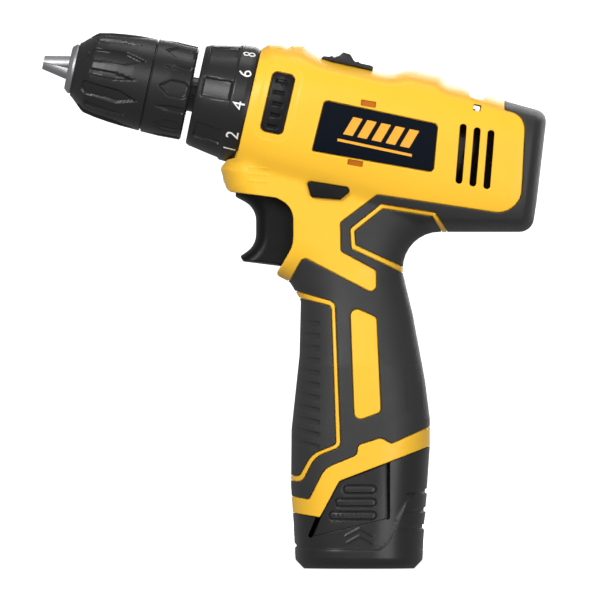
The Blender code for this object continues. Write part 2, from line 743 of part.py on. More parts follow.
def lead(name, side, material):
    """A motor wire: from the switch, under the motor, up to its brush terminal."""
    route = [
        (-2.0, 134.6), (4.0, 135.8), (11.0, 135.2), (19.0, 133.4), (28.0, 131.6), (38.0, 130.6),
        (46.0, 132.0), (50.6, 137.0), (52.0, 144.0), (51.6, 149.0), (49.8, 151.8),
    ]
    curve = bpy.data.curves.new(name, "CURVE")
    curve.dimensions = "3D"
    curve.bevel_depth = 1.0 * MM
    curve.bevel_resolution = 1
    curve.use_fill_caps = True
    spline = curve.splines.new("POLY")
    spline.points.add(len(route) - 1)
    for k, (point, (x, z)) in enumerate(zip(spline.points, route)):
        outward = 3.0 + 6.0 * max(0.0, (k - 6) / 4)
        point.co = (x * MM, side * outward * MM, z * MM, 1)
    return bake(link(name, curve, material))


# ---- housing and skins --------------------------------------------------------------------
def vent_prisms():
    slots = []
    for (top_x, top_z), (foot_x, foot_z) in zip(VENT_TOPS, VENT_FEET):
        w = VENT_HALF_WIDTH
        corners = [
            (top_x - w, top_z + w, w), (top_x + w, top_z + w, w),
            (foot_x + w, foot_z - w, w), (foot_x - w, foot_z - w, w),
        ]
        slots.append(prism("vent", corners))
    return slots


def cells_outline(margin):
    """A band drawn tightly round the three cells, margin mm outside them."""
    reach = CELL_RADIUS + margin
    spread = CELL_CENTRES[1][1]
    lean = math.atan2(CELL_CENTRES[1][0] - CELL_CENTRES[0][0], spread)
    steps = 5
    points = []
    arcs = [
        (CELL_CENTRES[1], 0.0, math.pi - lean),
        (CELL_CENTRES[0], math.pi - lean, math.pi + lean),
        (CELL_CENTRES[2], lean - math.pi, 0.0),
    ]
    for (x, y), start, end in arcs:
        for k in range(steps + 1):
            angle = start + (end - start) * k / steps
            points.append((x + reach * math.cos(angle), y + reach * math.sin(angle)))
    return points


def upright(name, points, low, high, material=None):
    """A vertical bar with the given (x, y) outline, from Z = low to Z = high, in mm."""
    curve = bpy.data.curves.new(name, "CURVE")
    curve.dimensions = "2D"
    curve.fill_mode = "BOTH"
    curve.extrude = (high - low) / 2 * MM
    spline = curve.splines.new("POLY")
    spline.points.add(len(points) - 1)
    for point, (x, y) in zip(spline.points, points):
        point.co = (x * MM, y * MM, 0, 1)
    spline.use_cyclic_u = True
    height = Matrix.Translation((0, 0, (low + high) / 2 * MM))
    return bake(link(name, curve, material, height))


def cross_rod(name, radius, x, z, near, far, sides=16):
    """A rod along Y through (x, z), in millimetres."""
    shape = bmesh.new()
    bmesh.ops.create_cone(
        shape, cap_ends=True, segments=sides, radius1=radius * MM, radius2=radius * MM,
        depth=(far - near) * MM,
    )
    mesh = bpy.data.meshes.new(name)
    shape.to_mesh(mesh)
    shape.free()
    place = Matrix.Translation((x * MM, (near + far) / 2 * MM, z * MM))
    return link(name, mesh, None, place @ Matrix.Rotation(math.radians(90), 4, "X"))


def slide_shift(distance):
    """How far the trigger's slide moves it in x and z over a distance, in mm."""
    tilt = math.radians(TRIGGER_TILT)
    return distance * math.cos(tilt), -distance * math.sin(tilt)


def trigger_room():
    """The cavity that the trigger sweeps, with clearance all round."""
    dx, dz = slide_shift(TRIGGER_TRAVEL + TRIGGER_CLEARANCE)
    corners = [
        (-50.0, 141.4, 0.0), (-26.0, 138.4, 0.0), (-20.0 + dx, 138.0 + dz, 0.0),
        (-20.0 + dx, 112.0, 0.0), (-26.0, 112.2, 0.0), (-48.0, 115.0, 0.0),
    ]
    half = TRIGGER_HALF_WIDTH + 0.5
    return prism("trigger_room", corners, -half, half)


def hollow(body):
    """Takes out the room for the gearbox, motor, switch, wires and battery."""
    body = cut(
        body,
        rod("gear_bore", GEAR_BORE, -55.0, 5.0),
        rod("motor_bore", MOTOR_BORE, -105.6, -54.0),
        rod("rear_chamber", 17.0, -128.6, -104.0),
        turned(
            "collar_room",
            [
                (0, -23.4), (22.4, -23.4), (22.8, -20.6), (20.8, -6.2), (19.2, -2.8), (0, -2.8),
            ],
            closed=False,
        ),
        trigger_room(),
        box("switch_room", (-15.0, -9.8, 110.6), (7.5, 9.8, 137.4)),
        box("lead_room", (-4.0, -5.0, 129.0), (54.5, 5.0, 137.5)),
        box("rear_lead_room", (46.0, -12.0, 134.0), (54.5, 12.0, 152.0)),
        upright("pack_socket", cells_outline(TOWER_WALL + 0.5), -5.0, TOWER_TOP + 3.6),
        box("terminal_room", (-9.5, -9.0, TOWER_TOP + 2.0), (11.5, 9.0, 90.0)),
        box("battery_lead_room", (-5.0, -5.0, 88.0), (7.5, 5.0, 112.0)),
        prism("lever_room", inset(LEVER_OUTLINE, -0.5)),
        cross_rod("strap_hole", 1.5, 45.2, 173.0, -40, 40, 8),
    )
    return cut(body, *vent_prisms())


def cut_top_and_nose(body):
    """The selector's channel in the crown, and the lamp's bore in the nose."""
    channel = drive_box("channel", (22.3, -8.3, -66.8), (30.3, 8.3, -41.6))
    slot = drive_box("selector_slot", (15.0, -2.6, -49.6), (25.0, 2.6, -42.6))
    lamp = cross_rod("lamp_bore", 2.8, 0, 0, -14, 10)
    lamp.matrix_world = lamp_matrix()
    return cut(body, channel, slot, lamp)


def lamp_matrix():
    """Frame of the work light: its local -Z looks forward and a little down."""
    place = Matrix.Translation((-49.2 * MM, 0, 146.3 * MM))
    return place @ Matrix.Rotation(math.radians(90 - 8), 4, "Y")


def half_block(side):
    """Everything on one side of the parting plane, less half the gap."""
    near, far = (-60.0, -GAP / 2) if side < 0 else (GAP / 2, 60.0)
    return box("half", (-90.0, near, -10.0), (120.0, far, 220.0))


def half_of(body, name, side, material):
    piece = combine(copy_of(body, name, material), half_block(side), "INTERSECT")
    return piece


def make_housings(outer, core):
    pockets = [
        prism("grip_pocket", GRIP_OUTLINE), prism("finger_pocket", FINGER_PAD_OUTLINE),
        prism("web_pocket", WEB_PAD_OUTLINE), prism("insert_pocket", SIDE_INSERT_OUTLINE),
        prism("label_pocket", LABEL_OUTLINE),
    ]
    pockets[0] = cut(pockets[0], prism("window", GRIP_WINDOW, -50, 50))
    shell = cut(copy_of(outer, "shell"), *pockets)
    shell = combine(shell, core, "UNION", keep_other=True)
    shell = cut_top_and_nose(hollow(shell))
    left = half_of(shell, "left_housing", -1, YELLOW)
    right = half_of(shell, "right_housing", 1, YELLOW)
    bpy.data.objects.remove(shell, do_unlink=True)
    for x, z, seat in SCREW_PLACES:
        hole = SCREW_SHANK + GAP
        left = cut(left, cross_rod("pilot", hole, x, z, -SCREW_BITE - 0.6, 1.0, 12))
        right = cut(
            right,
            cross_rod("clearance", hole, x, z, -1.0, 30.0, 12),
            cross_rod("counterbore", SCREW_HEAD + GAP, x, z, seat, 30.0, 12),
        )


def make_skin(name, corners, side, outer, core, material, window=None):
    """A piece of the body's own surface, SKIN thick, inside one pocket."""
    near, far = (-40.0, -GAP / 2) if side < 0 else (GAP / 2, 40.0)
    piece = prism(name, inset(corners, GAP), near, far, material)
    if window:
        piece = cut(piece, prism("window", inset(window, -GAP), -50, 50))
    piece = combine(piece, outer, "INTERSECT", keep_other=True)
    return combine(piece, core, "DIFFERENCE", keep_other=True)


def make_skins(outer, core):
    for word, side in (("left", -1), ("right", 1)):
        grip = make_skin(
            f"{word}_grip", GRIP_OUTLINE, side, outer, core, SOFT_BLACK, GRIP_WINDOW
        )
        make_skin(f"{word}_finger_pad", FINGER_PAD_OUTLINE, side, outer, core, SOFT_BLACK)
        make_skin(f"{word}_web_pad", WEB_PAD_OUTLINE, side, outer, core, SOFT_BLACK)
        make_skin(f"{word}_side_insert", SIDE_INSERT_OUTLINE, side, outer, core, BLACK)
        make_skin(f"{word}_label", LABEL_OUTLINE, side, outer, core, LABEL_INK)
        if side > 0:
            for x, z, _ in SCREW_PLACES[2:]:
                grip = cut(grip, cross_rod("access", SCREW_HEAD + GAP, x, z, 2.0, 40.0, 12))


def make_screws():
    """Pan-head screws from the right half into the left one, all of one length."""
    for k, (x, z, seat) in enumerate(SCREW_PLACES):
        shank = cross_rod(f"housing_screw_{k + 1}", SCREW_SHANK, x, z, -SCREW_BITE, seat + 1.0, 12)
        head = cross_rod("head", SCREW_HEAD, x, z, seat + GAP, seat + GAP + SCREW_HEAD_HEIGHT, 12)
        recess = box(
            "recess",
            (x - 1.5, seat + GAP + 1.0, z - 0.4),
            (x + 1.5, seat + GAP + SCREW_HEAD_HEIGHT + 1, z + 0.4),
        )
        screw = cut(join(shank, head), recess)
        screw.data.materials.clear()
        screw.data.materials.append(STEEL)


# ---- controls ----------------------------------------------------------------------------
def make_trigger():
    trigger = prism(
        "trigger", TRIGGER_OUTLINE, -TRIGGER_HALF_WIDTH, TRIGGER_HALF_WIDTH, BLACK
    )
    bevel = trigger.modifiers.new("soft_edges", "BEVEL")
    bevel.width = 1.4 * MM
    bevel.segments = 2
    bevel.limit_method = "ANGLE"
    bevel.angle_limit = math.radians(60)
    bake(trigger)


def make_switch():
    """The trigger switch: a sealed box with a plunger guide and two top terminals."""
    switch = box("switch_body", (-12.4, -9.0, 112.4), (6.8, 9.0, 133.0), GREY_PLASTIC)
    boss = box("boss", (-9.0, -7.0, 132.5), (-3.0, 7.0, 136.4))
    join(switch, boss)


def make_lever():
    lever = prism("direction_lever", LEVER_OUTLINE, -19.6, 19.6, BLACK)
    bevel = lever.modifiers.new("soft_edges", "BEVEL")
    bevel.width = 0.6 * MM
    bevel.segments = 1
    bevel.limit_method = "ANGLE"
    bevel.angle_limit = math.radians(60)
    bake(lever)


def make_selector():
    """The speed slide on the crown: a thumb ridge on a plate, and a leg to the shift ring."""
    outline = [
        (22.7, -65.6), (24.3, -65.6), (24.3, -58.4), (25.6, -57.2), (27.0, -56.0), (27.0, -53.4),
        (25.6, -52.2), (24.3, -51.0), (24.3, -45.9), (22.7, -45.9),
    ]
    curve = bpy.data.curves.new("speed_selector", "CURVE")
    curve.dimensions = "2D"
    curve.fill_mode = "BOTH"
    curve.extrude = 8.0 * MM
    spline = curve.splines.new("POLY")
    spline.points.add(len(outline) - 1)
    for point, (v, w) in zip(spline.points, outline):
        point.co = (v * MM, w * MM, 0, 1)
    spline.use_cyclic_u = True
    selector = on_drive(link("speed_selector", curve, BLACK))
    selector.matrix_basis = Matrix.Rotation(math.radians(90), 4, "X")
    selector = bake(selector)
    join(selector, drive_box("leg", (16.8, -1.9, -48.6), (23.2, 1.9, -46.4)))


def make_lamp():
    shape = bmesh.new()
    bmesh.ops.create_cone(
        shape, cap_ends=True, segments=16, radius1=2.5 * MM, radius2=2.5 * MM, depth=7 * MM
    )
    bmesh.ops.translate(shape, vec=(0, 0, 2.2 * MM), verts=shape.verts)
    mesh = bpy.data.meshes.new("led_lens")
    shape.to_mesh(mesh)
    shape.free()
    link("led_lens", mesh, LENS, lamp_matrix())


# ---- battery -----------------------------------------------------------------------------
def pack_base_corners():
    """The pack's side outline below the housing's lower edge."""
    seam = [(34.0, 48.4, 0.0), (-7.4, 32.6, 2.5), (-14.6, 18.9, 0.6), (-40.0, 22.8, 0.0)]
    return [(-40.0, -5.0, 0.0), *reversed(seam), (34.0, -5.0, 0.0)]


def make_battery():
    base = combine(handle_form(0.0), prism("below", pack_base_corners()), "INTERSECT")
    base.name = "battery_case"
    for word, side in (("left", -1), ("right", 1)):
        make_tab(word, side)
    for side in (-1, 1):
        near, far = (-40.0, -15.0) if side < 0 else (15.0, 40.0)
        room = prism("tab_room", inset(TAB_OUTLINE, -0.5), near, far)
        deep = handle_form(4.0)
        room = combine(room, deep, "DIFFERENCE")
        base = cut(base, room)
    tower = upright("tower", cells_outline(TOWER_WALL), 8.0, TOWER_TOP)
    case = join(base, tower)
    case = cut(case, upright("cell_room", cells_outline(0.3), CELL_FLOOR - 0.3, TOWER_TOP + 5))
    case.name = "battery_case"
    case.data.materials.clear()
    case.data.materials.append(BLACK)
    cap = upright("battery_cap", cells_outline(TOWER_WALL), TOWER_TOP + GAP, TOWER_TOP + 3.0, BLACK)
    cut(cap, *[box("contact", (a, -6.0, TOWER_TOP - 5), (a + 2.0, 6.0, TOWER_TOP + 9)) for a in (-6.0, 4.0)])
    for k, (x, y) in enumerate(CELL_CENTRES):
        shape = bmesh.new()
        bmesh.ops.create_cone(
            shape, cap_ends=True, segments=24, radius1=CELL_RADIUS * MM,
            radius2=CELL_RADIUS * MM, depth=CELL_LENGTH * MM,
        )
        mesh = bpy.data.meshes.new("cell")
        shape.to_mesh(mesh)
        shape.free()
        place = Matrix.Translation((x * MM, y * MM, (CELL_FLOOR + CELL_LENGTH / 2) * MM))
        link(f"battery_cell_{k + 1}", mesh, CELL_WRAP, place)
    block = box("terminal_block", (-8.5, -8.0, TOWER_TOP + 5.0), (10.5, 8.0, 89.0), BLACK)
    blades = [box("blade", (a + 0.6, -4.0, TOWER_TOP - 1), (a + 1.4, 4.0, 80.0)) for a in (-6.0, 4.0)]
    join(block, *blades)


def make_tab(word, side):
    """A release tab: a springy tongue of the pack's wall, free at its upper end."""
    near, far = (-40.0, -15.0) if side < 0 else (15.0, 40.0)
    name = f"release_tab_{word}"
    tab = prism(name, inset(TAB_OUTLINE, 0.2), near, far, BLACK)
    tab = combine(tab, prism("below", pack_base_corners()), "INTERSECT")
    tab = combine(tab, handle_form(0.1), "INTERSECT")
    tower_room = upright("tower_room", cells_outline(TOWER_WALL + 0.4), -5.0, TOWER_TOP)
    cut(tab, handle_form(1.9), tower_room)


def make_everything():
    outer = body_solid(0.0)
    pocket_core = body_solid(POCKET)
    skin_core = body_solid(SKIN)
    make_housings(outer, pocket_core)
    make_skins(outer, skin_core)
    for helper in (outer, pocket_core, skin_core):
        bpy.data.objects.remove(helper, do_unlink=True)
    make_screws()
    make_chuck()
    make_gearbox()
    make_clutch()
    make_motor()
    lead("red_lead", 1, RED_WIRE)
    lead("black_lead", -1, BLACK_WIRE)
    make_trigger()
    make_switch()
    make_lever()
    make_selector()
    make_lamp()
    make_battery()
    for piece in PARTS.objects:
        if piece.type == "MESH":
            piece.data.shade_smooth()
            piece.data.set_sharp_from_angle(angle=math.radians(35))


make_everything()
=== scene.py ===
import json
import math

import bmesh
import bpy
import numpy as np
from mathutils import Matrix, Vector
from mathutils.geometry import delaunay_2d_cdt


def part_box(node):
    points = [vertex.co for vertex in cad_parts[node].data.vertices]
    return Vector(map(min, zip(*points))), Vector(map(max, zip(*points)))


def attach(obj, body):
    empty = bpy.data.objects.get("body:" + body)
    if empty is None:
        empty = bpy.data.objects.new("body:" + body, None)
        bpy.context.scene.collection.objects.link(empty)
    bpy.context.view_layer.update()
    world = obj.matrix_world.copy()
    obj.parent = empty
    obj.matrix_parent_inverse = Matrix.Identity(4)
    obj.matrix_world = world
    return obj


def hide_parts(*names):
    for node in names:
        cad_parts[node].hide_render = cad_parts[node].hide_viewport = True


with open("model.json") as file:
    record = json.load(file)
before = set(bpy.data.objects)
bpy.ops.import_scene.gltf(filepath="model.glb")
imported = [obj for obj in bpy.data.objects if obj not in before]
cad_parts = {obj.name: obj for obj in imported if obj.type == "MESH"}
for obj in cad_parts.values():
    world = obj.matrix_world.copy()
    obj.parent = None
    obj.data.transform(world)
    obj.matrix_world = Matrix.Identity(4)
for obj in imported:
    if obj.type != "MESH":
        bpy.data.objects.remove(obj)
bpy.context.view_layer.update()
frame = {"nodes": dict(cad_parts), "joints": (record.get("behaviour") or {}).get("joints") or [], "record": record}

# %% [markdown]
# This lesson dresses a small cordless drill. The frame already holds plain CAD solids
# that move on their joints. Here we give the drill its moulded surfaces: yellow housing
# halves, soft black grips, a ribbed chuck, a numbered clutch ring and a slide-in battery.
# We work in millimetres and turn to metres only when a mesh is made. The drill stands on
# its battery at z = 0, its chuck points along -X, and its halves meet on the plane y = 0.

MM = 0.001
joints = {joint["name"]: joint for joint in frame["joints"]}
chuck_rear = Vector(joints["spindle_spin"]["pos_m"]) / MM
forward = Vector(joints["spindle_spin"]["axis"]).normalized()
upward = Vector((forward.z, 0.0, -forward.x))
print("the chuck's rear face is at", [round(c, 2) for c in chuck_rear], "mm")


def on_axis(up, across, along):
    """A point in mm, measured from the middle of the chuck's rear face."""
    return chuck_rear + upward * up + Vector((0, across, 0)) + forward * along


# %% [markdown]
# A finish is a small node network. Moulded plastic is never one flat colour: the dye
# varies a little, handling polishes some patches, and the mould's texture scatters light.
# One function makes every finish, from a colour, a roughness and the size of its grain.
# Even values, such as how strongly it reflects, are typed on the shader's own sockets.

# %% Finishes
CLOUD, PATCH = 14, 6  # sizes in mm of the dye's clouds and of the polished patches
POLISH = 0.06  # how much the roughness varies from patch to patch


def finish(name, colour, roughness, grain, bump, vary, metallic=0.0, **even):
    """A procedural material: grain is its texture's size in mm, bump its height in mm."""
    material = bpy.data.materials.new(name)
    material.use_nodes = True
    nodes, links = material.node_tree.nodes, material.node_tree.links
    shader = nodes["Principled BSDF"]
    place = nodes.new("ShaderNodeTexCoord")

    def noise(size, detail):
        texture = nodes.new("ShaderNodeTexNoise")
        texture.inputs["Scale"].default_value = 1 / (size * MM)
        texture.inputs["Detail"].default_value = detail
        links.new(place.outputs["Object"], texture.inputs["Vector"])
        return texture.outputs["Fac"]

    tint = nodes.new("ShaderNodeMix")
    tint.data_type = "RGBA"
    tint.inputs["A"].default_value = (*[c * (1 - vary) for c in colour], 1)
    tint.inputs["B"].default_value = (*[min(1.0, c * (1 + vary)) for c in colour], 1)
    links.new(noise(CLOUD, 3), tint.inputs["Factor"])
    links.new(tint.outputs["Result"], shader.inputs["Base Color"])
    patches = nodes.new("ShaderNodeMapRange")
    patches.inputs["To Min"].default_value = roughness - POLISH
    patches.inputs["To Max"].default_value = roughness + POLISH
    links.new(noise(PATCH, 4), patches.inputs["Value"])
    links.new(patches.outputs["Result"], shader.inputs["Roughness"])
    texture = nodes.new("ShaderNodeBump")
    texture.inputs["Distance"].default_value = bump * MM
    texture.inputs["Strength"].default_value = 0.6
    links.new(noise(grain, 2), texture.inputs["Height"])
    links.new(texture.outputs["Normal"], shader.inputs["Normal"])
    shader.inputs["Metallic"].default_value = metallic
    for socket, value in even.items():
        shader.inputs[socket.replace("_", " ")].default_value = value
    return material


yellow_plastic = finish(
    "yellow_plastic", (0.94, 0.52, 0.03), 0.4, 0.5, 0.012, 0.03, Specular_IOR_Level=0.35
)
soft_rubber = finish(
    "soft_rubber", (0.026, 0.026, 0.027), 0.55, 0.3, 0.06, 0.12, Specular_IOR_Level=0.4
)
black_plastic = finish(
    "black_plastic", (0.013, 0.013, 0.014), 0.36, 0.4, 0.02, 0.1, Specular_IOR_Level=0.35
)
dark_plastic = finish(
    "dark_plastic", (0.004, 0.004, 0.005), 0.4, 0.4, 0.02, 0.1, Specular_IOR_Level=0.18
)
battery_plastic = finish(
    "battery_plastic", (0.014, 0.014, 0.015), 0.36, 0.35, 0.03, 0.1, Specular_IOR_Level=0.4
)
label_film = finish(
    "label_film", (0.003, 0.005, 0.01), 0.5, 0.8, 0.004, 0.05, Specular_IOR_Level=0.05
)
# painted shade: dark amber that stands for the yellow plastic in shadow at the bottom of the moulding slots
painted_shade_amber = finish(
    "painted_shade_amber", (0.45, 0.13, 0.003), 0.5, 0.5, 0.01, 0.08, Specular_IOR_Level=0.2
)
grey_plastic = finish("grey_plastic", (0.2, 0.2, 0.21), 0.45, 0.4, 0.02, 0.06)
amber_ink = finish("amber_ink", (0.94, 0.4, 0.02), 0.4, 0.8, 0.004, 0.03)
white_ink = finish("white_ink", (0.82, 0.82, 0.8), 0.5, 0.8, 0.004, 0.03)
steel = finish("machined_steel", (0.42, 0.42, 0.43), 0.32, 0.6, 0.01, 0.08, 1.0)
bright_steel = finish("ground_steel", (0.36, 0.36, 0.37), 0.48, 0.25, 0.01, 0.05, 1.0)
dark_steel = finish("blackened_steel", (0.09, 0.09, 0.092), 0.34, 0.5, 0.01, 0.1, 1.0)
cell_wrap = finish("cell_wrap", (0.05, 0.25, 0.6), 0.38, 2.0, 0.02, 0.05)
red_wire = finish("red_wire", (0.6, 0.02, 0.02), 0.45, 0.8, 0.02, 0.08)
black_wire = finish("black_wire", (0.02, 0.02, 0.02), 0.5, 0.8, 0.02, 0.1)
clear_lens = finish("clear_lens", (0.86, 0.88, 0.9), 0.12, 1.5, 0.004, 0.02)
print(len(bpy.data.materials), "materials in the file")


# %% [markdown]
# Every new piece goes through one function. It makes the object, gives it its finish and
# material slot, fixes it to the body that it moves with, and hides the CAD solids that it
# stands for.

# %% Putting a piece on the drill
def add_piece(name, mesh, material, body, nodes=()):
    piece = bpy.data.objects.new(name, mesh)
    bpy.context.scene.collection.objects.link(piece)
    mesh.materials.clear()
    mesh.materials.append(material)
    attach(piece, body)
    if nodes:
        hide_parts(*nodes)
    return piece


def mesh_of(name, points, faces, sharp=40.0):
    """A mesh from points in mm, smooth except across edges sharper than an angle."""
    mesh = bpy.data.meshes.new(name)
    mesh.from_pydata([tuple(c * MM for c in point) for point in points], [], faces)
    mesh.validate()
    mesh.shade_smooth()
    mesh.set_sharp_from_angle(angle=math.radians(sharp))
    return mesh


print("pieces join the collection", bpy.context.scene.collection.name)

# %% [markdown]
# The drill's side view is drawn as outlines: lists of corners (x, z, radius) in mm. A
# corner with a radius becomes an arc, as on a draughtsman's sheet. An outline can be
# moved inwards or outwards by a distance, which makes the fine gap round each skin. The
# last functions say which points lie in an outline, and how far they are from its line.

# %% Outlines
FAR = 24.0  # distances beyond this, in mm, are all taken as this
BATCH = 60000  # distances worked out at a time, to spare memory


def shrink(corners, distance):
    """The outline with each side moved inwards by a distance in mm."""
    count = len(corners)
    spots = [Vector(c[:2]) for c in corners]
    area = sum(a.x * b.y - b.x * a.y for a, b in zip(spots, spots[1:] + spots[:1]))
    hand = -1 if area > 0 else 1
    moved = []
    for i in range(count):
        into = (spots[i] - spots[i - 1]).normalized()
        out = (spots[(i + 1) % count] - spots[i]).normalized()
        sides = [Vector((v.y, -v.x)) * hand for v in (into, out)]
        spot = spots[i] + (sides[0] + sides[1]) * (distance / (1 + sides[0].dot(sides[1])))
        turn = (into.x * out.y - into.y * out.x) * hand
        radius = corners[i][2]
        if radius > 0:
            radius = max(0.15, radius - distance if turn < 0 else radius + distance)
        moved.append((spot.x, spot.y, radius))
    return moved


def drawn(corners, step=0.9):
    """The outline as an array of points at most a step apart, with arcs at its corners."""
    count = len(corners)
    points = []
    for i, (x, z, radius) in enumerate(corners):
        here = Vector((x, z))
        back = Vector(corners[i - 1][:2]) - here
        ahead = Vector(corners[(i + 1) % count][:2]) - here
        half = back.angle(ahead) / 2
        beyond = corners[i - 1][2], corners[(i + 1) % count][2]
        shares = [radius / max(radius + other, 0.01) for other in beyond]
        room = 0.98 * min(back.length * shares[0], ahead.length * shares[1])
        setback = min(radius / math.tan(half), room) if radius > 0 else 0.0
        if setback < 0.03 or half > math.radians(89):
            points.append(here)
            continue
        radius = setback * math.tan(half)
        turn = math.pi - 2 * half
        steps = max(2, round(turn / math.radians(11)))
        middle = (back.normalized() + ahead.normalized()).normalized()
        centre = here + middle * (radius / math.sin(half))
        arm = here + back.normalized() * setback - centre
        side = -1 if back.x * ahead.y - back.y * ahead.x > 0 else 1
        for k in range(steps + 1):
            points.append(centre + Matrix.Rotation(side * turn * k / steps, 2) @ arm)
    path = []
    for a, b in zip(points, points[1:] + points[:1]):
        pieces = max(1, math.ceil((b - a).length / step))
        path += [a.lerp(b, k / pieces) for k in range(pieces)]
    return np.array([tuple(p) for p in path])


def bounded(low_x, low_z, high_x, high_z, radius, lean=0.0):
    """A rectangle with rounded corners, turned about its middle by lean degrees."""
    middle = Vector(((low_x + high_x) / 2, (low_z + high_z) / 2))
    turn = Matrix.Rotation(math.radians(lean), 2)
    corners = [(low_x, high_z), (high_x, high_z), (high_x, low_z), (low_x, low_z)]
    spots = [middle + turn @ (Vector(c) - middle) for c in corners]
    return [(s.x, s.y, radius) for s in spots]


def boxed(points, loop, margin):
    """Which points lie in the loop's box, widened by a margin."""
    low, high = loop.min(0) - margin, loop.max(0) + margin
    return ((points > low) & (points < high)).all(1)


def near(points, line, closed=True):
    """The distance from each point to a line; FAR stands for anything beyond it."""
    start = line if closed else line[:-1]
    end = np.roll(line, -1, axis=0) if closed else line[1:]
    run = (end - start).T
    length = np.maximum((run**2).sum(0), 1e-9)
    nearest = np.full(len(points), FAR)
    close = np.nonzero(boxed(points, line, FAR))[0]
    some = max(1, BATCH // len(start))
    for first in range(0, len(close), some):
        chosen = close[first:first + some]
        dx = points[chosen, :1] - start[:, 0]
        dz = points[chosen, 1:] - start[:, 1]
        share = np.clip((dx * run[0] + dz * run[1]) / length, 0, 1)
        dx -= share * run[0]
        dz -= share * run[1]
        nearest[chosen] = np.sqrt((dx * dx + dz * dz).min(1))
    return np.minimum(nearest, FAR)


def inside(points, loop):
    """Which points lie inside a closed loop."""
    start, end = loop, np.roll(loop, -1, axis=0)
    rise = end[:, 1] - start[:, 1]
    rise = np.where(abs(rise) < 1e-12, 1e-12, rise)
    lean = (end[:, 0] - start[:, 0]) / rise
    result = np.zeros(len(points), bool)
    close = np.nonzero(boxed(points, loop, 0.0))[0]
    some = max(1, BATCH // len(start))
    for first in range(0, len(close), some):
        chosen = close[first:first + some]
        x, z = points[chosen, :1], points[chosen, 1:]
        between = (start[:, 1] > z) != (end[:, 1] > z)
        crossing = start[:, 0] + (z - start[:, 1]) * lean
        result[chosen] = (between & (x < crossing)).sum(1) % 2 == 1
    return result


def depth_in(points, loop):
    """How far inside a loop each point is; negative outside it."""
    return near(points, loop) * np.where(inside(points, loop), 1, -1)


rounded_square = drawn([(0, 0, 3), (9, 0, 3), (9, 9, 3), (0, 9, 3)])
print("a square with rounded corners takes", len(rounded_square), "points")

# %% [markdown]
# These are the drill's own outlines. HOUSING is the yellow casing without its battery, and
# the others lie on its side: the long grip with its window, the pads, the side insert, the
# label, the direction button, the vents and a hole for a strap. The silhouette follows
# the whole drill, battery included, and every surface rounds off towards it.

# %% The drill's own outlines
HOUSING = [
    (-36.5, 194.6, 0.6), (-33.6, 196.3, 1.0), (-28.6, 196.2, 1.4), (-26.9, 194.9, 1.4),
    (-24.6, 196.0, 1.4), (-20.6, 195.7, 2.0), (-14.5, 191.1, 8.0), (6.0, 186.5, 8.0),
    (12.2, 185.0, 9.0), (18.6, 186.9, 8.0), (31.0, 184.1, 3.0), (33.4, 181.3, 2.5),
    (40.0, 179.8, 1.2), (42.4, 176.9, 0.8), (46.4, 175.9, 0.4), (48.2, 177.1, 0.8),
    (53.5, 175.5, 0.6), (70.6, 170.8, 4.5), (66.6, 137.0, 3.0), (64.9, 126.0, 5.5),
    (16.5, 126.0, 14.0), (16.5, 110.5, 1.5), (20.2, 95.1, 3.0), (24.8, 70.3, 5.0),
    (26.6, 56.0, 3.0), (26.6, 45.9, 0.0), (-7.4, 32.9, 2.5), (-14.7, 19.3, 0.5),
    (-24.8, 20.9, 0.0), (-25.5, 31.0, 8.0), (-25.3, 52.0, 4.0), (-22.3, 80.0, 5.0),
    (-21.8, 100.5, 4.0), (-26.0, 107.3, 3.0), (-31.4, 110.0, 1.6), (-28.6, 114.2, 2.0),
    (-24.6, 121.0, 11.0), (-24.6, 135.4, 8.0), (-31.0, 138.8, 3.0), (-49.4, 141.2, 3.0),
    (-52.0, 150.0, 2.0), (-49.4, 153.0, 2.0), (-45.8, 153.9, 0.0),
]
GRIP = [
    (54.4, 180.0, 0.0), (54.4, 171.6, 0.4), (62.2, 169.6, 7.0), (60.4, 131.8, 9.0),
    (6.8, 139.9, 1.5), (-7.0, 129.5, 1.5), (-6.8, 118.6, 1.5), (6.5, 111.5, 2.2),
    (6.5, 102.4, 2.2), (-20.9, 116.6, 2.0), (-25.7, 108.2, 0.5), (-30.0, 105.6, 0.0),
    (-9.0, 99.7, 3.0), (-6.9, 45.6, 3.0), (-16.5, 41.9, 9.0), (-21.4, 32.2, 3.0),
    (-32.0, 34.4, 0.0), (-32.0, 28.0, 0.0), (-18.7, 26.0, 0.6), (-12.9, 37.6, 8.0),
    (-0.8, 42.6, 2.2), (-0.5, 46.3, 2.2), (8.2, 49.0, 2.5), (12.0, 46.8, 1.5),
    (34.0, 56.3, 0.0), (34.0, 90.0, 0.0), (26.0, 106.4, 0.0), (-2.9, 119.7, 1.5),
    (-3.4, 127.1, 1.5), (8.2, 136.4, 1.5), (28.4, 133.2, 1.0), (35.2, 122.8, 0.0),
    (80.0, 118.0, 0.0), (80.0, 180.0, 0.0),
]
WINDOW = [(-3.4, 98.5, 2.5), (6.6, 94.0, 2.0), (8.2, 58.6, 2.0), (-1.8, 55.0, 2.5)]
FINGER_PAD = [
    (-32.0, 104.2, 0.0), (-10.1, 98.5, 2.0), (-8.3, 46.4, 2.0), (-17.5, 42.6, 8.0),
    (-22.3, 33.9, 2.5), (-32.0, 35.9, 0.0),
]
WEB_PAD = [
    (26.6, 107.8, 0.0), (-1.6, 120.8, 1.0), (-2.0, 126.4, 1.0), (8.8, 135.0, 1.0),
    (27.6, 132.0, 0.6), (33.4, 123.0, 0.0), (34.0, 116.0, 0.0),
]
SIDE_INSERT = [(-32.0, 186.2, 2.0), (-23.6, 184.4, 2.0), (-28.8, 162.0, 2.0), (-37.2, 163.8, 2.0)]
LABEL = [(-12.9, 175.2, 1.6), (29.4, 166.2, 1.6), (27.7, 148.2, 1.6), (-17.6, 156.2, 0.6)]
LEVER = [(-19.5, 145.0, 1.0), (-2.2, 142.3, 1.2), (-7.2, 138.2, 0.8), (-17.9, 139.1, 1.0)]
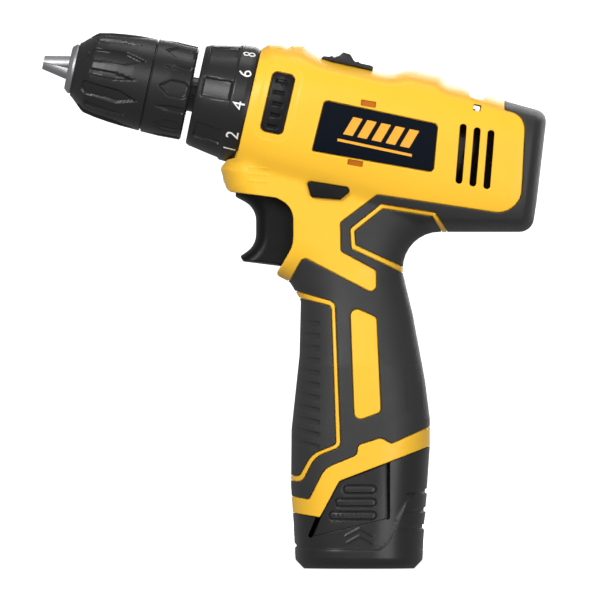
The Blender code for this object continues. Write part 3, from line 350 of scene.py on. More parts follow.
STRAP_HOLE = [(43.0, 173.8, 0.4), (45.7, 173.2, 0.4), (45.2, 170.9, 0.4), (42.5, 171.5, 0.4)]
VENT_ENDS = [
    ((38.9, 165.0), (37.3, 145.2)), ((44.1, 163.7), (42.5, 144.2)), ((49.3, 162.7), (47.7, 143.2)),
]
VENT_HALF_WIDTH = 1.25
SCREWS = [  # x, z, and how far the screw's seat is from the middle plane
    (-36.5, 146.2, 5.0), (20.0, 182.2, 6.0), (60.5, 130.8, 8.0), (22.0, 62.0, 7.0),
]
REACH = 30.0  # how far the silhouette's open end runs on, past the clutch ring


def slot_corners(top, foot, half_width):
    """A slot whose round ends are centred on its top and its foot."""
    top, foot = Vector(top), Vector(foot)
    along = (foot - top).normalized() * half_width
    across = Vector((-along.y, along.x))
    corners = [
        top - along + across, top - along - across, foot + along - across, foot + along + across,
    ]
    return [(*corner, half_width * 0.99) for corner in corners]


VENTS = [slot_corners(top, foot, VENT_HALF_WIDTH) for top, foot in VENT_ENDS]


HOUSING_EDGES = [slice(1, 25), slice(29, 35), slice(39, 42)]  # crown and back, front, nose


def silhouette(skipped=(), ease_out=1):
    """The drill's rounded edges. It leaves out the trigger's bay, which is an open end."""
    corners = list(enumerate((x, z, radius * ease_out) for x, z, radius in HOUSING))
    rear, front, nose = [
        [corner for k, corner in corners[part] if k not in skipped] for part in HOUSING_EDGES
    ]
    ahead = (forward.x * REACH, forward.z * REACH)
    return drawn(
        [(HOUSING[0][0] + ahead[0], HOUSING[0][1] + ahead[1], 0.0), HOUSING[0]]
        + rear
        + [(26.6, 45.9, 0.0), (25.5, 29.0, 0.0), (24.1, 8.0, 2.0), (24.0, -REACH, 0.0)]
        + [(-24.0, -REACH, 0.0), (-24.1, 7.6, 2.0), (-24.8, 20.9, 0.0)]
        + front
        + nose
        + [(nose[-1][0] + ahead[0], nose[-1][1] + ahead[1], 0.0)]
    )


CROWN_NOTCHES = (3, 4, 13, 14)  # corners of small notches, which leave the side's form alone
SILHOUETTE = silhouette()
SMOOTH_EDGE = silhouette(CROWN_NOTCHES, 3)
print("the silhouette has", len(SILHOUETTE), "points")


# %% [markdown]
# The side surface is a height field: at each point (x, z) of the side view it gives the
# half width of the body. The barrel is a squarish tube about the drive axis, the handle
# an oval post, and both roll in to nothing at the silhouette. The larger of the two wins,
# with a small fillet where they cross, as the mould has under the barrel.

# %% Width of the body
SEAM = 0.12  # each half stops this far from the middle plane
BARREL = [  # distance behind the chuck, half width, reach up, reach down, squareness
    (20.0, 21.9, 23.4, 23.4, 2.0), (25.0, 22.6, 24.4, 24.4, 2.1), (34.0, 23.6, 26.4, 26.0, 2.4),
    (60.0, 23.9, 26.8, 27.5, 2.5), (92.0, 23.9, 26.6, 31.5, 2.5), (112.0, 23.7, 24.6, 31.0, 2.6),
    (126.0, 23.1, 23.8, 29.0, 2.7), (134.0, 21.8, 23.0, 27.0, 2.7), (142.0, 18.5, 21.0, 25.0, 2.7),
]
HANDLE = [  # height above the bench, half width
    (0, 22.4), (22, 22.9), (46, 23.4), (62, 23.4), (76, 23.1), (96, 20.2), (110, 18.4),
    (124, 17.7), (150, 17.5),
]


def roll(depth, radius, power=2.2):
    """A rounded edge: 0 at the silhouette, 1 from a radius inwards."""
    t = np.clip(1 - depth / radius, 0, 1)
    return (1 - t**power) ** (1 / power)


def from_axis(points):
    """Distance behind the chuck's rear face, and height above the drive axis, in mm."""
    dx, dz = points[:, 0] - chuck_rear.x, points[:, 1] - chuck_rear.z
    return -(dx * forward.x + dz * forward.z), dx * upward.x + dz * upward.z


def body_width(points):
    """Half the drill's width at points of the side view."""
    depth = depth_in(points, SILHOUETTE)
    behind, height = from_axis(points)
    table = np.array(BARREL)
    wide, top, bottom, power = [np.interp(behind, table[:, 0], table[:, k]) for k in (1, 2, 3, 4)]
    share = np.clip(np.where(height > 0, height / top, -height / bottom), 0, 1)
    power = np.where(height > 0, power, power + 0.6)
    calm = np.maximum(depth_in(points, SMOOTH_EDGE), depth)
    edge = np.minimum(roll(calm, 5.0, 2.0), roll(depth, 1.5, 2.0))
    barrel = wide * (1 - share**power) ** (1 / power) * edge
    at_nose = np.clip((points[:, 1] - 128) / 10, 0, 1) * np.clip((-18 - points[:, 0]) / 8, 0, 1)
    handle = np.interp(points[:, 1], *zip(*HANDLE)) * roll(depth, 20 - 9 * at_nose)
    fillet = np.clip(1 - abs(barrel - handle) / 2.4, 0, 1) ** 2 * 0.6
    return np.maximum(np.maximum(barrel, handle) + fillet * roll(depth, 6.0), SEAM)


print("half the handle's width is", round(float(body_width(np.array([(0.0, 60.0)]))[0]), 1), "mm")

# %% [markdown]
# Small relief is pressed into the height field. A press is a loop whose inside sinks, or
# rises where the depth is negative. A groove follows a line. Both have soft edges, and
# both ask for extra mesh points there, so that their edges come out clean.

# %% Relief
def eased(t):
    """A soft step: 0 up to t = 0, and 1 from t = 1."""
    t = np.clip(t, 0, 1)
    return t * t * (3 - 2 * t)


def press(corners, depth, edge):
    """Relief that sinks by depth inside an outline, over a soft edge."""
    loop = drawn(corners, 0.6)

    def drop(points):
        return depth * eased(depth_in(points, loop) / edge)

    return drop, beside(loop, (0.02, edge * 0.5, edge))


def groove(line, depth, half_width, closed=False):
    """Relief that sinks by depth along a line."""
    line = np.array(line, float)
    if not closed:
        line = spread(line, 0.6)

    def drop(points):
        return depth * (1 - eased(near(points, line, closed) / half_width))

    rows = [half_width * k for k in (0.001, 0.35, 0.7, 1.0)]
    return drop, beside(line, rows, closed, both=True)


def spread(line, step):
    """The open line with points at most a step apart."""
    path = []
    for a, b in zip(line[:-1], line[1:]):
        count = max(1, math.ceil(np.linalg.norm(b - a) / step))
        path += [a + (b - a) * k / count for k in range(count)]
    return np.array([*path, line[-1]])


def beside(line, gaps, closed=True, both=False):
    """Rows of mesh points that run beside a line, at each of the gaps."""
    if closed:
        run = np.roll(line, -1, axis=0) - np.roll(line, 1, axis=0)
        turn = np.sum(line[:, 0] * np.roll(line[:, 1], -1) - np.roll(line[:, 0], -1) * line[:, 1])
    else:
        run = np.gradient(line, axis=0)
        turn = 1.0
    across = np.stack([-run[:, 1], run[:, 0]], 1) * (1 if turn > 0 else -1)
    across /= np.maximum(np.linalg.norm(across, axis=1, keepdims=True), 1e-9)
    rows = [line + across * gap for gap in gaps]
    if both:
        rows += [line - across * gap for gap in gaps]
    return np.concatenate(rows)


print("a quarter of the way, a soft step has risen by", float(eased(0.25)))

# %% [markdown]
# A skin is one moulded surface. Its points are the outlines, rows beside them for the
# rounded rims, rows along the silhouette where the surface turns fastest, and an even
# field between. Delaunay triangulation joins them without crossing an outline. The
# surface normals come from the height field itself, which shades smoother than the
# triangles do, and the open rim turns inwards to show the wall's thickness.

# %% Skins
RIM = 0.42  # radius of the rounded rim along each gap
EDGE_ROWS = (0.12, 0.35, 0.7, 1.2, 1.9, 2.8, 3.9, 5.2, 6.8)


def field(area, spacing):
    """An even field of points over a loop's box, in staggered rows."""
    low, high = area.min(0), area.max(0)
    rows = []
    for k, z in enumerate(np.arange(low[1], high[1], spacing * 0.866)):
        x = np.arange(low[0] + (k % 2) * spacing / 2, high[0], spacing)
        rows.append(np.stack([x, np.full(len(x), z)], 1))
    return np.concatenate(rows)


def thinned(points, gap):
    """The points, less those that share a small square with an earlier one."""
    _, first = np.unique(np.round(points / gap).astype(int), axis=0, return_index=True)
    return points[np.sort(first)]


def skin_mesh(name, area, holes, relief, width, side, wall, spacing=1.7, rim=RIM, lip=None):
    """One side of a moulded surface, from its outline and holes, each an array of points.

    area is the list of loops that a point has to be inside of, and side is -1 or 1.
    """
    loops = [*area, *holes]

    def height(points):
        level = width(points)
        for drop, _ in relief:
            level = level - drop(points)
        edge = np.min([near(points, loop) for loop in loops], axis=0)
        if rim:
            short = np.clip(rim - edge, 0, rim)
            level = level - (rim - np.sqrt(rim**2 - short**2))
        return np.maximum(level, SEAM)

    def belongs(points):
        kept = np.all([inside(points, loop) for loop in area], axis=0)
        for hole in holes:
            kept &= ~inside(points, hole)
        return kept

    rows = [beside(loop, (0.1, 0.22, RIM, 0.9), both=True) for loop in loops]
    rows.append(beside(SILHOUETTE, EDGE_ROWS))
    rows += [extra for _, extra in relief]
    loose = np.concatenate(rows)
    loose = loose[belongs(loose)]
    even = field(area[-1], spacing)
    even = even[belongs(even)]
    even = even[near(even, SILHOUETTE) > EDGE_ROWS[-1]]
    loose = thinned(np.concatenate([loose, even]), 0.07)
    loose = loose[np.min([near(loose, loop) for loop in loops], axis=0) > 0.05]
    fixed, edges = [], []
    for loop in loops:
        start = len(fixed)
        fixed += [tuple(p) for p in loop]
        edges += [(start + i, start + (i + 1) % len(loop)) for i in range(len(loop))]
    flat = [Vector(p) for p in fixed] + [Vector(p) for p in loose]
    spots, _, triangles, *_ = delaunay_2d_cdt(flat, edges, [], 0, 1e-4)
    spots = np.array([tuple(p) for p in spots])
    triangles = np.array([list(t) for t in triangles])
    triangles = triangles[belongs(spots[triangles].mean(1))]
    used, triangles = np.unique(triangles, return_inverse=True)
    spots, triangles = spots[used], triangles.reshape(-1, 3)
    level = height(spots)
    reach = 0.04
    slope = [
        (height(spots + step) - level) / reach
        for step in (np.array([reach, 0]), np.array([0, reach]))
    ]
    normals = np.stack([-slope[0], np.full(len(spots), 1.0), -slope[1]], 1)
    normals[:, 1] *= side
    normals /= np.linalg.norm(normals, axis=1, keepdims=True)
    points = np.stack([spots[:, 0], side * level, spots[:, 1]], 1)
    order = triangles if side > 0 else triangles[:, ::-1]
    a, b, c = points[order[:, 0]], points[order[:, 1]], points[order[:, 2]]
    outward = np.cross(b - a, c - a)[:, 1] * side < 0
    order[outward] = order[outward][:, ::-1]
    sides = dict.fromkeys((face[i], face[(i + 1) % 3]) for face in order for i in range(3))
    rims = [pair for pair in sides if (pair[1], pair[0]) not in sides]
    rims = [(p, q) for p, q in rims if max(level[p], level[q]) > SEAM + 0.35]
    rim_ids = sorted({i for pair in rims for i in pair})
    inner = np.maximum(level[rim_ids] - wall, 0.05)
    places = np.stack([spots[rim_ids, 0], inner, spots[rim_ids, 1]], 1)
    if lip:
        places = lip(places, level[rim_ids])
    places[:, 1] *= side
    outer_copy = {v: len(points) + i for i, v in enumerate(rim_ids)}
    inner_copy = {v: len(points) + len(rim_ids) + i for i, v in enumerate(rim_ids)}
    everything = np.concatenate([points, points[rim_ids], places])
    walls = [(outer_copy[q], outer_copy[p], inner_copy[p], inner_copy[q]) for p, q in rims]
    mesh = bpy.data.meshes.new(name)
    mesh.from_pydata((everything * MM).tolist(), [], order.tolist() + walls)
    mesh.shade_smooth()
    shown = [tuple(n) for n in normals] + [(0, 0, 0)] * (2 * len(rim_ids))
    mesh.normals_split_custom_set_from_vertices(shown)
    return mesh


print("skins come within", SEAM, "mm of the middle plane")

# %% [markdown]
# The yellow housing is two moulded halves. Its outline loses everything that the soft
# skins, label, vents and button take up, and each of those leaves a dark gap a quarter of
# a millimetre wide. The screws go in from the right half, so only that one has screw
# wells. Where the collar and the trigger enter, the wall is thick instead of thin.

# %% Housing halves
GAP = 0.13  # half of the fine gap between neighbouring skins
LINE = 0.3  # the pads stop this much short, so that the yellow line round them shows
TRIGGER_SLOT = 9.8  # half width of the slot that the trigger slides in
COLLAR_SEAT = 17.6  # radius of the ring at the nose that the clutch ring's neck enters
WELL_RADIUS = 2.9
housing_loop = drawn(HOUSING)
FINGER_PAD, WEB_PAD = shrink(FINGER_PAD, LINE), shrink(WEB_PAD, LINE)


def opened(corners):
    """The outline of the hole that a part leaves in the housing."""
    return drawn(shrink(corners, -GAP))


def filled(corners):
    """The outline of a part that sits in such a hole."""
    return drawn(shrink(corners, GAP))


def housing_lip(places, level):
    """The collar's seat closes to a ring, and the trigger's slot has thick cheeks."""
    flat = places[:, (0, 2)]
    behind, height = from_axis(flat)
    seat = (behind > 22.4) & (behind < 25.2) & (abs(height) < 26)
    out = np.hypot(level, height)
    for i in np.nonzero(seat)[0]:
        share = min(1.0, COLLAR_SEAT / max(out[i], 1.0))
        spot = on_axis(height[i] * share, 0, -behind[i])
        places[i] = (spot.x, level[i] * share, spot.z)
    slot = (flat[:, 0] < -24.0) & (flat[:, 1] > 112.2) & (flat[:, 1] < 142) & ~seat
    places[slot, 1] = np.minimum(level[slot], TRIGGER_SLOT)
    return places


def well_lip(places, level):
    """As above, and each screw's well goes down to its seat."""
    places = housing_lip(places, level)
    for x, z, seat in SCREWS:
        close = np.hypot(places[:, 0] - x, places[:, 2] - z) < WELL_RADIUS + 0.5
        places[close, 1] = seat
    return places


panel = press(shrink(SIDE_INSERT, -3.4), 0.2, 1.6)
nose_bars = [
    press(bounded(-41.5, z, -34.0, z + 1.0, 0.4, -4), -0.12, 0.4) for z in (144.5, 147.0, 149.5)
]
housing_relief = [panel, *nose_bars]
MOULD_SLOTS = [bounded(0.7, 172.7, 6.3, 174.9, 0.4, -10), bounded(-4.3, 150.6, 1.4, 152.7, 0.4, -10)]
taken = [opened(part) for part in (GRIP, FINGER_PAD, WEB_PAD, SIDE_INSERT, LABEL, LEVER)]
taken += [drawn(vent, 0.5) for vent in [*VENTS, STRAP_HOLE, *MOULD_SLOTS]]
well_sizes = [(x, z, WELL_RADIUS) for x, z, _ in SCREWS]
wells = [drawn(bounded(x - r, z - r, x + r, z + r, r - 0.001), 0.5) for x, z, r in well_sizes]
window_loop = filled(WINDOW)


def painted_slot_shade(points):
    """Half width at the dark amber sheet 0.9 mm down in the two moulding slots beside the label: painted shade for
    the slots' floors.
    """
    return body_width(points) - 0.9


def housing_half(word, side):
    """One half: its shell, the yellow bar in the grip's window, and the amber sheets of painted shade in the
    slots.
    """
    holes = taken + (wells if side > 0 else [])
    lip = well_lip if side > 0 else housing_lip
    mesh = skin_mesh(
        f"{word}_housing_shell", [housing_loop], holes, housing_relief, body_width, side, 1.7,
        lip=lip,
    )
    shell = add_piece(
        f"{word}_housing_shell", mesh, yellow_plastic, "body", [f"{word}_housing"]
    )
    bar = skin_mesh(f"{word}_grip_bar", [window_loop], [], [], body_width, side, 1.7)
    add_piece(f"{word}_grip_bar", bar, yellow_plastic, "body")
    # the dark amber sheets in the two moulding slots are painted shade
    for k, corners in enumerate(MOULD_SLOTS):
        floor = drawn(shrink(corners, -0.15), 0.8)
        mesh = skin_mesh(f"{word}_painted_slot_shade_{k + 1}", [floor], [], [], painted_slot_shade, side, 0.3, rim=0)
        add_piece(mesh.name, mesh, painted_shade_amber, "body")
    return shell


for word, side in (("left", -1), ("right", 1)):
    shell = housing_half(word, side)
    print(shell.name, "has", len(shell.data.polygons), "faces")

# %% [markdown]
# Under the skins the housing's wall goes on, set a little deeper, so the fine gaps show
# shaded plastic and no daylight. It is cut away where the speed slide travels.

# %% Wall under the skins
UNDER = 1.35


def under_width(points):
    return body_width(points) - UNDER


under_loop = drawn(shrink(HOUSING, 0.5), 1.5)
slide_box = [on_axis(up, 0, along) for up, along in ((20.5, -70), (30, -70), (30, -38), (20.5, -38))]
slide_room = drawn([(p.x, p.z, 0.0) for p in slide_box], 1.5)
openings = [drawn(vent, 0.8) for vent in [*VENTS, STRAP_HOLE]] + [opened(LEVER), slide_room]
for word, side in (("left", -1), ("right", 1)):
    holes = openings + (wells if side > 0 else [])
    mesh = skin_mesh(f"{word}_under_wall", [under_loop], holes, [], under_width, side, 0.5, 2.6, rim=0)
    add_piece(f"{word}_under_wall", mesh, yellow_plastic, "body")
print("the wall under the skins is", UNDER, "mm down")

# %% [markdown]
# The soft skins are rubber moulded over the plastic. The long grip runs from the rear
# bumper round the web of the hand and down the handle; the finger pad carries shallow
# ribs. The rubber's fine grain is bump, while ribs and recesses are real relief.

# %% Soft skins
RIB_PITCH = 4.5
finger_ribs = [
    press(bounded(-28.5, z - 1.15, -14.4, z + 1.15, 0.9, -3 - (94 - z) * 0.25), 0.85, 0.65)
    for z in np.arange(47.0, 94.0, RIB_PITCH)
]
rear_recess = press(bounded(17.4, 58.6, 23.6, 77.7, 1.2, 2.5), 0.3, 0.6)
insert_dents = [
    press(bounded(x - 2.1, z - 0.75, x + 2.1, z + 0.75, 0.7, -12), 0.55, 0.5)
    for x, z in ((-28.6, 182.3), (-29.6, 178.0), (-30.5, 173.8), (-31.5, 169.6), (-32.6, 165.4))
]
grip_wells = wells[2:]


def soft_skin(word, side, part, corners, holes, relief, material=soft_rubber):
    """One skin, kept inside the housing's outline."""
    area = [filled(corners), housing_loop]
    lip = well_lip if holes and side > 0 else None
    mesh = skin_mesh(f"{word}_{part}_skin", area, holes, relief, body_width, side, 1.2, lip=lip)
    return add_piece(f"{word}_{part}_skin", mesh, material, "body", [f"{word}_{part}"])


for word, side in (("left", -1), ("right", 1)):
    window = opened(WINDOW)
    soft_skin(word, side, "grip", GRIP, [window] + (grip_wells if side > 0 else []), [rear_recess])
    soft_skin(word, side, "finger_pad", FINGER_PAD, [], finger_ribs)
    soft_skin(word, side, "web_pad", WEB_PAD, [], [])
    soft_skin(word, side, "side_insert", SIDE_INSERT, [], insert_dents, dark_plastic)
    soft_skin(word, side, "label", LABEL, [], [], label_film)

# %% [markdown]
# The label is a dark film. The printed name on it is left out, and a generic pattern of
# slanted amber bars over a thin rule takes its place.

# %% Label pattern
label_middle = np.mean([c[:2] for c in LABEL], axis=0)
label_lean = math.atan2(LABEL[1][1] - LABEL[0][1], LABEL[1][0] - LABEL[0][0])


def on_label(across, up):
    """A point of the side view, measured along and across the label from its middle."""
    c, s = math.cos(label_lean), math.sin(label_lean)
    return (label_middle[0] + across * c - up * s, label_middle[1] + across * s + up * c)


def printed(name, corners, side):
    """A patch of ink that stands a hair proud of the label."""
    loop = drawn([(*on_label(*corner), 0.15) for corner in corners], 0.8)

    def proud(points):
        return body_width(points) + 0.04

    mesh = skin_mesh(name, [loop], [], [], proud, side, 0.1, rim=0)
    return add_piece(name, mesh, amber_ink, "body")


BARS, BAR_WIDTH, BAR_PITCH, BAR_HEIGHT, BAR_SLANT = 5, 3.6, 5.4, 7.0, 2.4
BAR_FOOT = -1.6
for word, side in (("left", -1), ("right", 1)):
    for k in range(BARS):
        start = (k - BARS / 2) * BAR_PITCH + (BAR_PITCH - BAR_WIDTH) / 2
        slant, bar_top = start + BAR_SLANT, BAR_FOOT + BAR_HEIGHT
        corners = [
            (start, BAR_FOOT), (slant, bar_top), (slant + BAR_WIDTH, bar_top),
            (start + BAR_WIDTH, BAR_FOOT),
        ]
        printed(f"{word}_label_bar_{k + 1}", corners, side)
    rule = [(-14.2, -4.6), (-14.2, -3.6), (14.2, -3.6), (14.2, -4.6)]
    printed(f"{word}_label_rule", rule, side)
print("label pattern leans", round(math.degrees(label_lean), 1), "degrees")

# %% [markdown]
# The battery's case is a black moulding with a proud band round its foot, notches for the
# thumb, and a springy release tab on each side, cut free by two slots. Three ribs on the
# tab give the thumb a hold. The two halves of the case meet on the middle plane.

# %% Battery case
SEAM_GAP = 0.208  # between the housing and the battery under it
TAB_GAP = 0.15  # round the release tab, so that it clears the case when it is pressed
SHOULDER = 9.0  # the seam's shoulder ends this far from the middle plane
seam_line = [HOUSING[28], HOUSING[27], HOUSING[26], HOUSING[25]]
THUMB_NOTCHES = ((25.5, 29.0), (25.0, 22.1), (24.5, 15.7))


def pack_outline():
    """The battery's outline: the seam, the notched back, the foot and the front."""
    seam = [(x, z - SEAM_GAP, radius) for x, z, radius in seam_line]
    rear = []
    for x, z in THUMB_NOTCHES:
        rear += [
            (x, z + 1.0, 0.2), (x - 0.75, z + 0.6, 0.2), (x - 0.8, z - 0.6, 0.2), (x, z - 1.0, 0.2),
        ]
    rear += [(24.1, 8.0, 2.0), (23.8, 3.3, 1.2), (20.6, 0.0, 0.4)]
    front = [
        (-20.6, 0.0, 0.4), (-23.8, 3.3, 1.2), (-24.1, 7.6, 0.2), (-23.5, 8.1, 0.2),
        (-23.5, 8.9, 0.2), (-24.2, 9.4, 0.2),
    ]
    return [*seam, *rear, *front]


def foot_width(points):
    """The body's width, drawn in over the last few millimetres above the bench."""
    low = np.clip(1 - points[:, 1] / 4.0, 0, 1)
    return body_width(points) - 3.6 * low**2


SLANT_SLOT = slot_corners((-14.6, 20.9), (-18.1, 12.5), 0.85)
BACK_SLOT = [(9.65, 48.0, 0.0), (11.5, 48.0, 0.0), (11.5, 18.5, 0.9), (9.65, 18.5, 0.9)]
TAB = [
    (-14.4, 19.3, 0.0), (-7.2, 32.6, 2.5), (9.65, 39.1, 0.0), (9.65, 18.7, 0.0), (-17.0, 12.2, 0.0),
]
band = press(
    [(-40, 8.3, 0), (-20, 7.7, 3), (8.0, 7.4, 4), (11.4, 10.6, 3), (17.4, 25.0, 4), (21.5, 29.2, 3),
     (40, 29.6, 0), (40, -10, 0), (-40, -10, 0)], -0.7, 0.6,
)
thumb_notches = [
    groove([(x - 7.5, z - 1.6), (x - 2.5, z - 0.3), (x + 2, z)], 0.9, 1.25)
    for x, z in THUMB_NOTCHES
]
chevrons = [groove([(-4.6, z), (0.2, z + 2.6), (5.0, z)], -0.35, 0.75) for z in (9.8, 12.6)]
RIB_ROWS = ((28.3, 31.2, -5.8), (23.4, 26.3, -8.8), (18.5, 21.4, -11.1))  # low, high, left
tab_ribs = []
for low, high, left in RIB_ROWS:
    shape = bounded(left, low, 6.3, high, (high - low) / 2 - 0.01)
    tab_ribs.append(press(shape, -0.25, 0.5))
    tab_ribs.append(groove(drawn(shape, 0.5), 0.45, 0.5, closed=True))
pack_relief = [band, *thumb_notches, *chevrons, *tab_ribs]


def pack_lip(places, level):
    """The foot and ends close flat, and the shoulder under the seam reaches the cell sleeve."""
    seam_x, seam_z = [c[0] for c in seam_line], [c[1] for c in seam_line]
    shoulder = places[:, 2] > np.interp(places[:, 0], seam_x, seam_z) - 0.8
    on_outline = near(places[:, [0, 2]], pack_loop) < 0.02
    places[on_outline & ~shoulder, 1] = 0.0
    places[shoulder, 1] = np.minimum(level[shoulder], SHOULDER)
    return places


pack_loop = drawn(pack_outline(), 0.8)
tab_loop = drawn(TAB, 0.8)
tab_area = drawn(shrink(TAB, TAB_GAP), 0.8)
slots = [drawn(SLANT_SLOT, 0.5), drawn(BACK_SLOT, 0.8)]
for word, side in (("left", -1), ("right", 1)):
    mesh = skin_mesh(
        f"battery_shell_{word}", [pack_loop], [tab_loop, *slots], pack_relief, foot_width, side, 2.6,
        rim=0.12, lip=pack_lip,
    )
    nodes = ["battery_case"] if side < 0 else []
    add_piece(f"battery_shell_{word}", mesh, battery_plastic, "battery", nodes)
    mesh = skin_mesh(
        f"release_tab_{word}_skin", [tab_area, pack_loop], [slots[0]], pack_relief, foot_width,
        side, 1.8, rim=0,
    )
    add_piece(
        f"release_tab_{word}_skin", mesh, battery_plastic, f"release_{word}", [f"release_tab_{word}"]
    )
print("the release tabs stand", TAB_GAP, "mm clear of the case")

# %% [markdown]
# Inside the handle stands the sleeve round the cells. It is a band drawn tightly round
# three circles, one for each cell, and raised to the height that the CAD case gives.

# %% Cell sleeve
cells = [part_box(f"battery_cell_{k}") for k in (1, 2, 3)]
cell_centres = [((np.array(lo) + np.array(hi)) / 2 / MM)[:2] for lo, hi in cells]
SLEEVE_REACH = 10.4
sleeve_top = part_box("battery_case")[1][2] / MM


def hull(points):
    """The convex outline round a set of flat points."""
    ordered = sorted(tuple(p) for p in points)
    chains = []
    for run in (ordered, ordered[::-1]):
        chain = []
        for p in run:
            while len(chain) > 1 and (
                (chain[-1][0] - chain[-2][0]) * (p[1] - chain[-2][1])
                - (chain[-1][1] - chain[-2][1]) * (p[0] - chain[-2][0])
            ) <= 0:
                chain.pop()
            chain.append(p)
        chains += chain[:-1]
    return chains


def stacked(name, rings):
    """A mesh through rings of points that have the same count, open at both ends."""
    points = [p for ring in rings for p in ring]
    n = len(rings[0])
    faces = []
    for k in range(len(rings) - 1):
        for i in range(n):
            j = (i + 1) % n
            faces.append((k * n + i, k * n + j, (k + 1) * n + j, (k + 1) * n + i))
    return mesh_of(name, points, faces)


directions = [(math.cos(a), math.sin(a)) for a in np.linspace(0, 2 * math.pi, 72, endpoint=False)]
outline = hull([
    (x + c * SLEEVE_REACH, y + s * SLEEVE_REACH) for x, y in cell_centres for c, s in directions
])
centre = np.mean(cell_centres, axis=0)


def sleeve_ring(reach, z):
    """The outline drawn in evenly towards the sleeve's middle, at a height."""
    share = reach / SLEEVE_REACH
    return [(*(centre + (np.array(spot) - centre) * share), z) for spot in outline]


rings = [
    sleeve_ring(SLEEVE_REACH + 0.9, 3.0), sleeve_ring(SLEEVE_REACH + 0.9, 15.5),
    sleeve_ring(SLEEVE_REACH, 17.0), sleeve_ring(SLEEVE_REACH, sleeve_top - 0.8),
    sleeve_ring(SLEEVE_REACH - 0.3, sleeve_top - 0.1), sleeve_ring(SLEEVE_REACH - 0.8, sleeve_top),
    sleeve_ring(SLEEVE_REACH - 1.1, sleeve_top - 0.1), sleeve_ring(SLEEVE_REACH - 1.1, sleeve_top - 4),
]
add_piece("cell_sleeve", stacked("cell_sleeve", rings), battery_plastic, "battery")
print("the cell sleeve is", round(sleeve_top, 1), "mm high")

# %% [markdown]
# The chuck's sleeves are turned shapes with grips pressed into them. We build a grid of
# rings: each ring has a place along the axis and a radius, and a relief function takes a
# little off the radius wherever a grip lies. A grip is blunt at the front and runs out
# to a point behind, like a spear.

# %% Turned pieces
def turned(name, profile, sides=180, relief=None):
    """A surface about the drive axis. The profile lists (forward, radius) points in mm."""
    rings = []
    for along, radius in profile:
        ring = []
        for k in range(sides):
            angle = 2 * math.pi * k / sides
            r = radius - (relief(along, angle, radius) if relief else 0.0)
            ring.append(on_axis(r * math.cos(angle), -r * math.sin(angle), along))
        rings.append(ring)
    return stacked(name, rings)


def finely(profile, step=0.45):
    """The profile with extra points, so that relief along it comes out clean."""
    fine = []
    for (a, ra), (b, rb) in zip(profile, profile[1:]):
        count = max(1, math.ceil(math.hypot(b - a, rb - ra) / step))
        fine += [(a + (b - a) * k / count, ra + (rb - ra) * k / count) for k in range(count)]
    return [*fine, profile[-1]]


def wrapped(angle, pitch, start=0.0):
    """The angle to the nearest of the marks that stand a pitch apart."""
    return (angle - start + pitch / 2) % pitch - pitch / 2


GRIPS = 7
FIRST_GRIP = 0.2  # radians round the axis
grip_pitch = 2 * math.pi / GRIPS


def spear(along, across, blunt, point, half_width, taper, slope=0.75):
    """How deep a spear-shaped grip is, 0 to 1: blunt at its front, pointed behind."""
    if not point < along < blunt:
        return 0.0
    width = half_width * min(1.0, (along - point) / taper)
    width = min(width, half_width * 0.55 + (blunt - along) * 0.8)
    front = eased((blunt - along) / 0.9)
    return eased((width - abs(across)) / slope) * front


def beside_grips(angle, radius):
    """Distances round the sleeve to the nearest grip and to the nearest middle of a gap."""
    starts = (FIRST_GRIP, FIRST_GRIP + grip_pitch / 2)
    return [radius * wrapped(angle, grip_pitch, start) for start in starts]


def front_relief(along, angle, radius):
    on_grip, between = beside_grips(angle, radius)
    wide = spear(along, on_grip, 40.2, 17.6, 2.9, 8.0)
    slim = spear(along, between, 38.0, 19.4, 1.6, 9.0)
    return 1.05 * wide + 0.8 * slim


def rear_relief(along, angle, radius):
    on_grip, between = beside_grips(angle, radius)
    wide = spear(12.9 - along, between, 12.9, 1.0, 3.4, 4.5)
    slim = spear(13.8 - along, on_grip, 13.8, 1.4, 1.5, 6.0)
    return 0.95 * wide + 0.7 * slim


front_profile = finely(
    [(15.45, 15.2), (15.45, 17.4), (15.65, 17.6), (22.0, 17.3), (28.0, 16.75), (33.0, 16.1),
     (37.4, 15.2), (38.6, 14.4), (42.6, 10.7), (43.6, 10.0), (43.6, 9.5), (40.0, 9.4)]
)
rear_profile = finely(
    [(-0.4, 9.0), (-0.4, 17.2), (0.2, 17.8), (8.0, 18.0), (14.7, 17.75), (14.95, 17.5),
     (14.95, 16.9), (15.35, 16.9), (15.35, 15.2)]
)
mesh = turned("chuck_front_grip", front_profile, 252, front_relief)
add_piece("chuck_front_grip", mesh, black_plastic, "chuck_sleeve", ["chuck_front_sleeve"])
mesh = turned("chuck_rear_grip", rear_profile, 252, rear_relief)
add_piece("chuck_rear_grip", mesh, black_plastic, "spindle", ["chuck_rear_sleeve"])
ring_profile = [
    (43.7, 7.2), (43.7, 9.2), (43.85, 9.35), (44.6, 9.35), (44.9, 9.1), (45.6, 8.5), (46.1, 8.1),
    (46.2, 7.8), (46.0, 7.3), (44.0, 7.2),
]
mesh = turned("nose_ring", ring_profile, 96)
add_piece("nose_ring", mesh, bright_steel, "spindle", ["chuck_nose_ring"])
print("the sleeves carry", 2 * GRIPS, "grips each")

# %% [markdown]
# The clutch ring sits between the chuck and the housing. Shallow hollows ring its front
# half, and white digits on its rear rim give the torque settings. The digits are text
# turned to mesh, then rolled round the rim: their tops point to the chuck.

# %% Clutch ring
HOLLOWS = 7
FIRST_HOLLOW = math.radians(79.5)
hollow_pitch = 2 * math.pi / HOLLOWS
RIM_RADIUS = 22.2


def collar_relief(along, angle, radius):
    across = abs(radius * wrapped(angle, hollow_pitch, FIRST_HOLLOW))
    low = eased((4.0 - across) / 0.6)
    span = eased((-4.6 - along) / 0.5) * eased((along + 15.6) / 0.7)
    return 0.85 * low * span


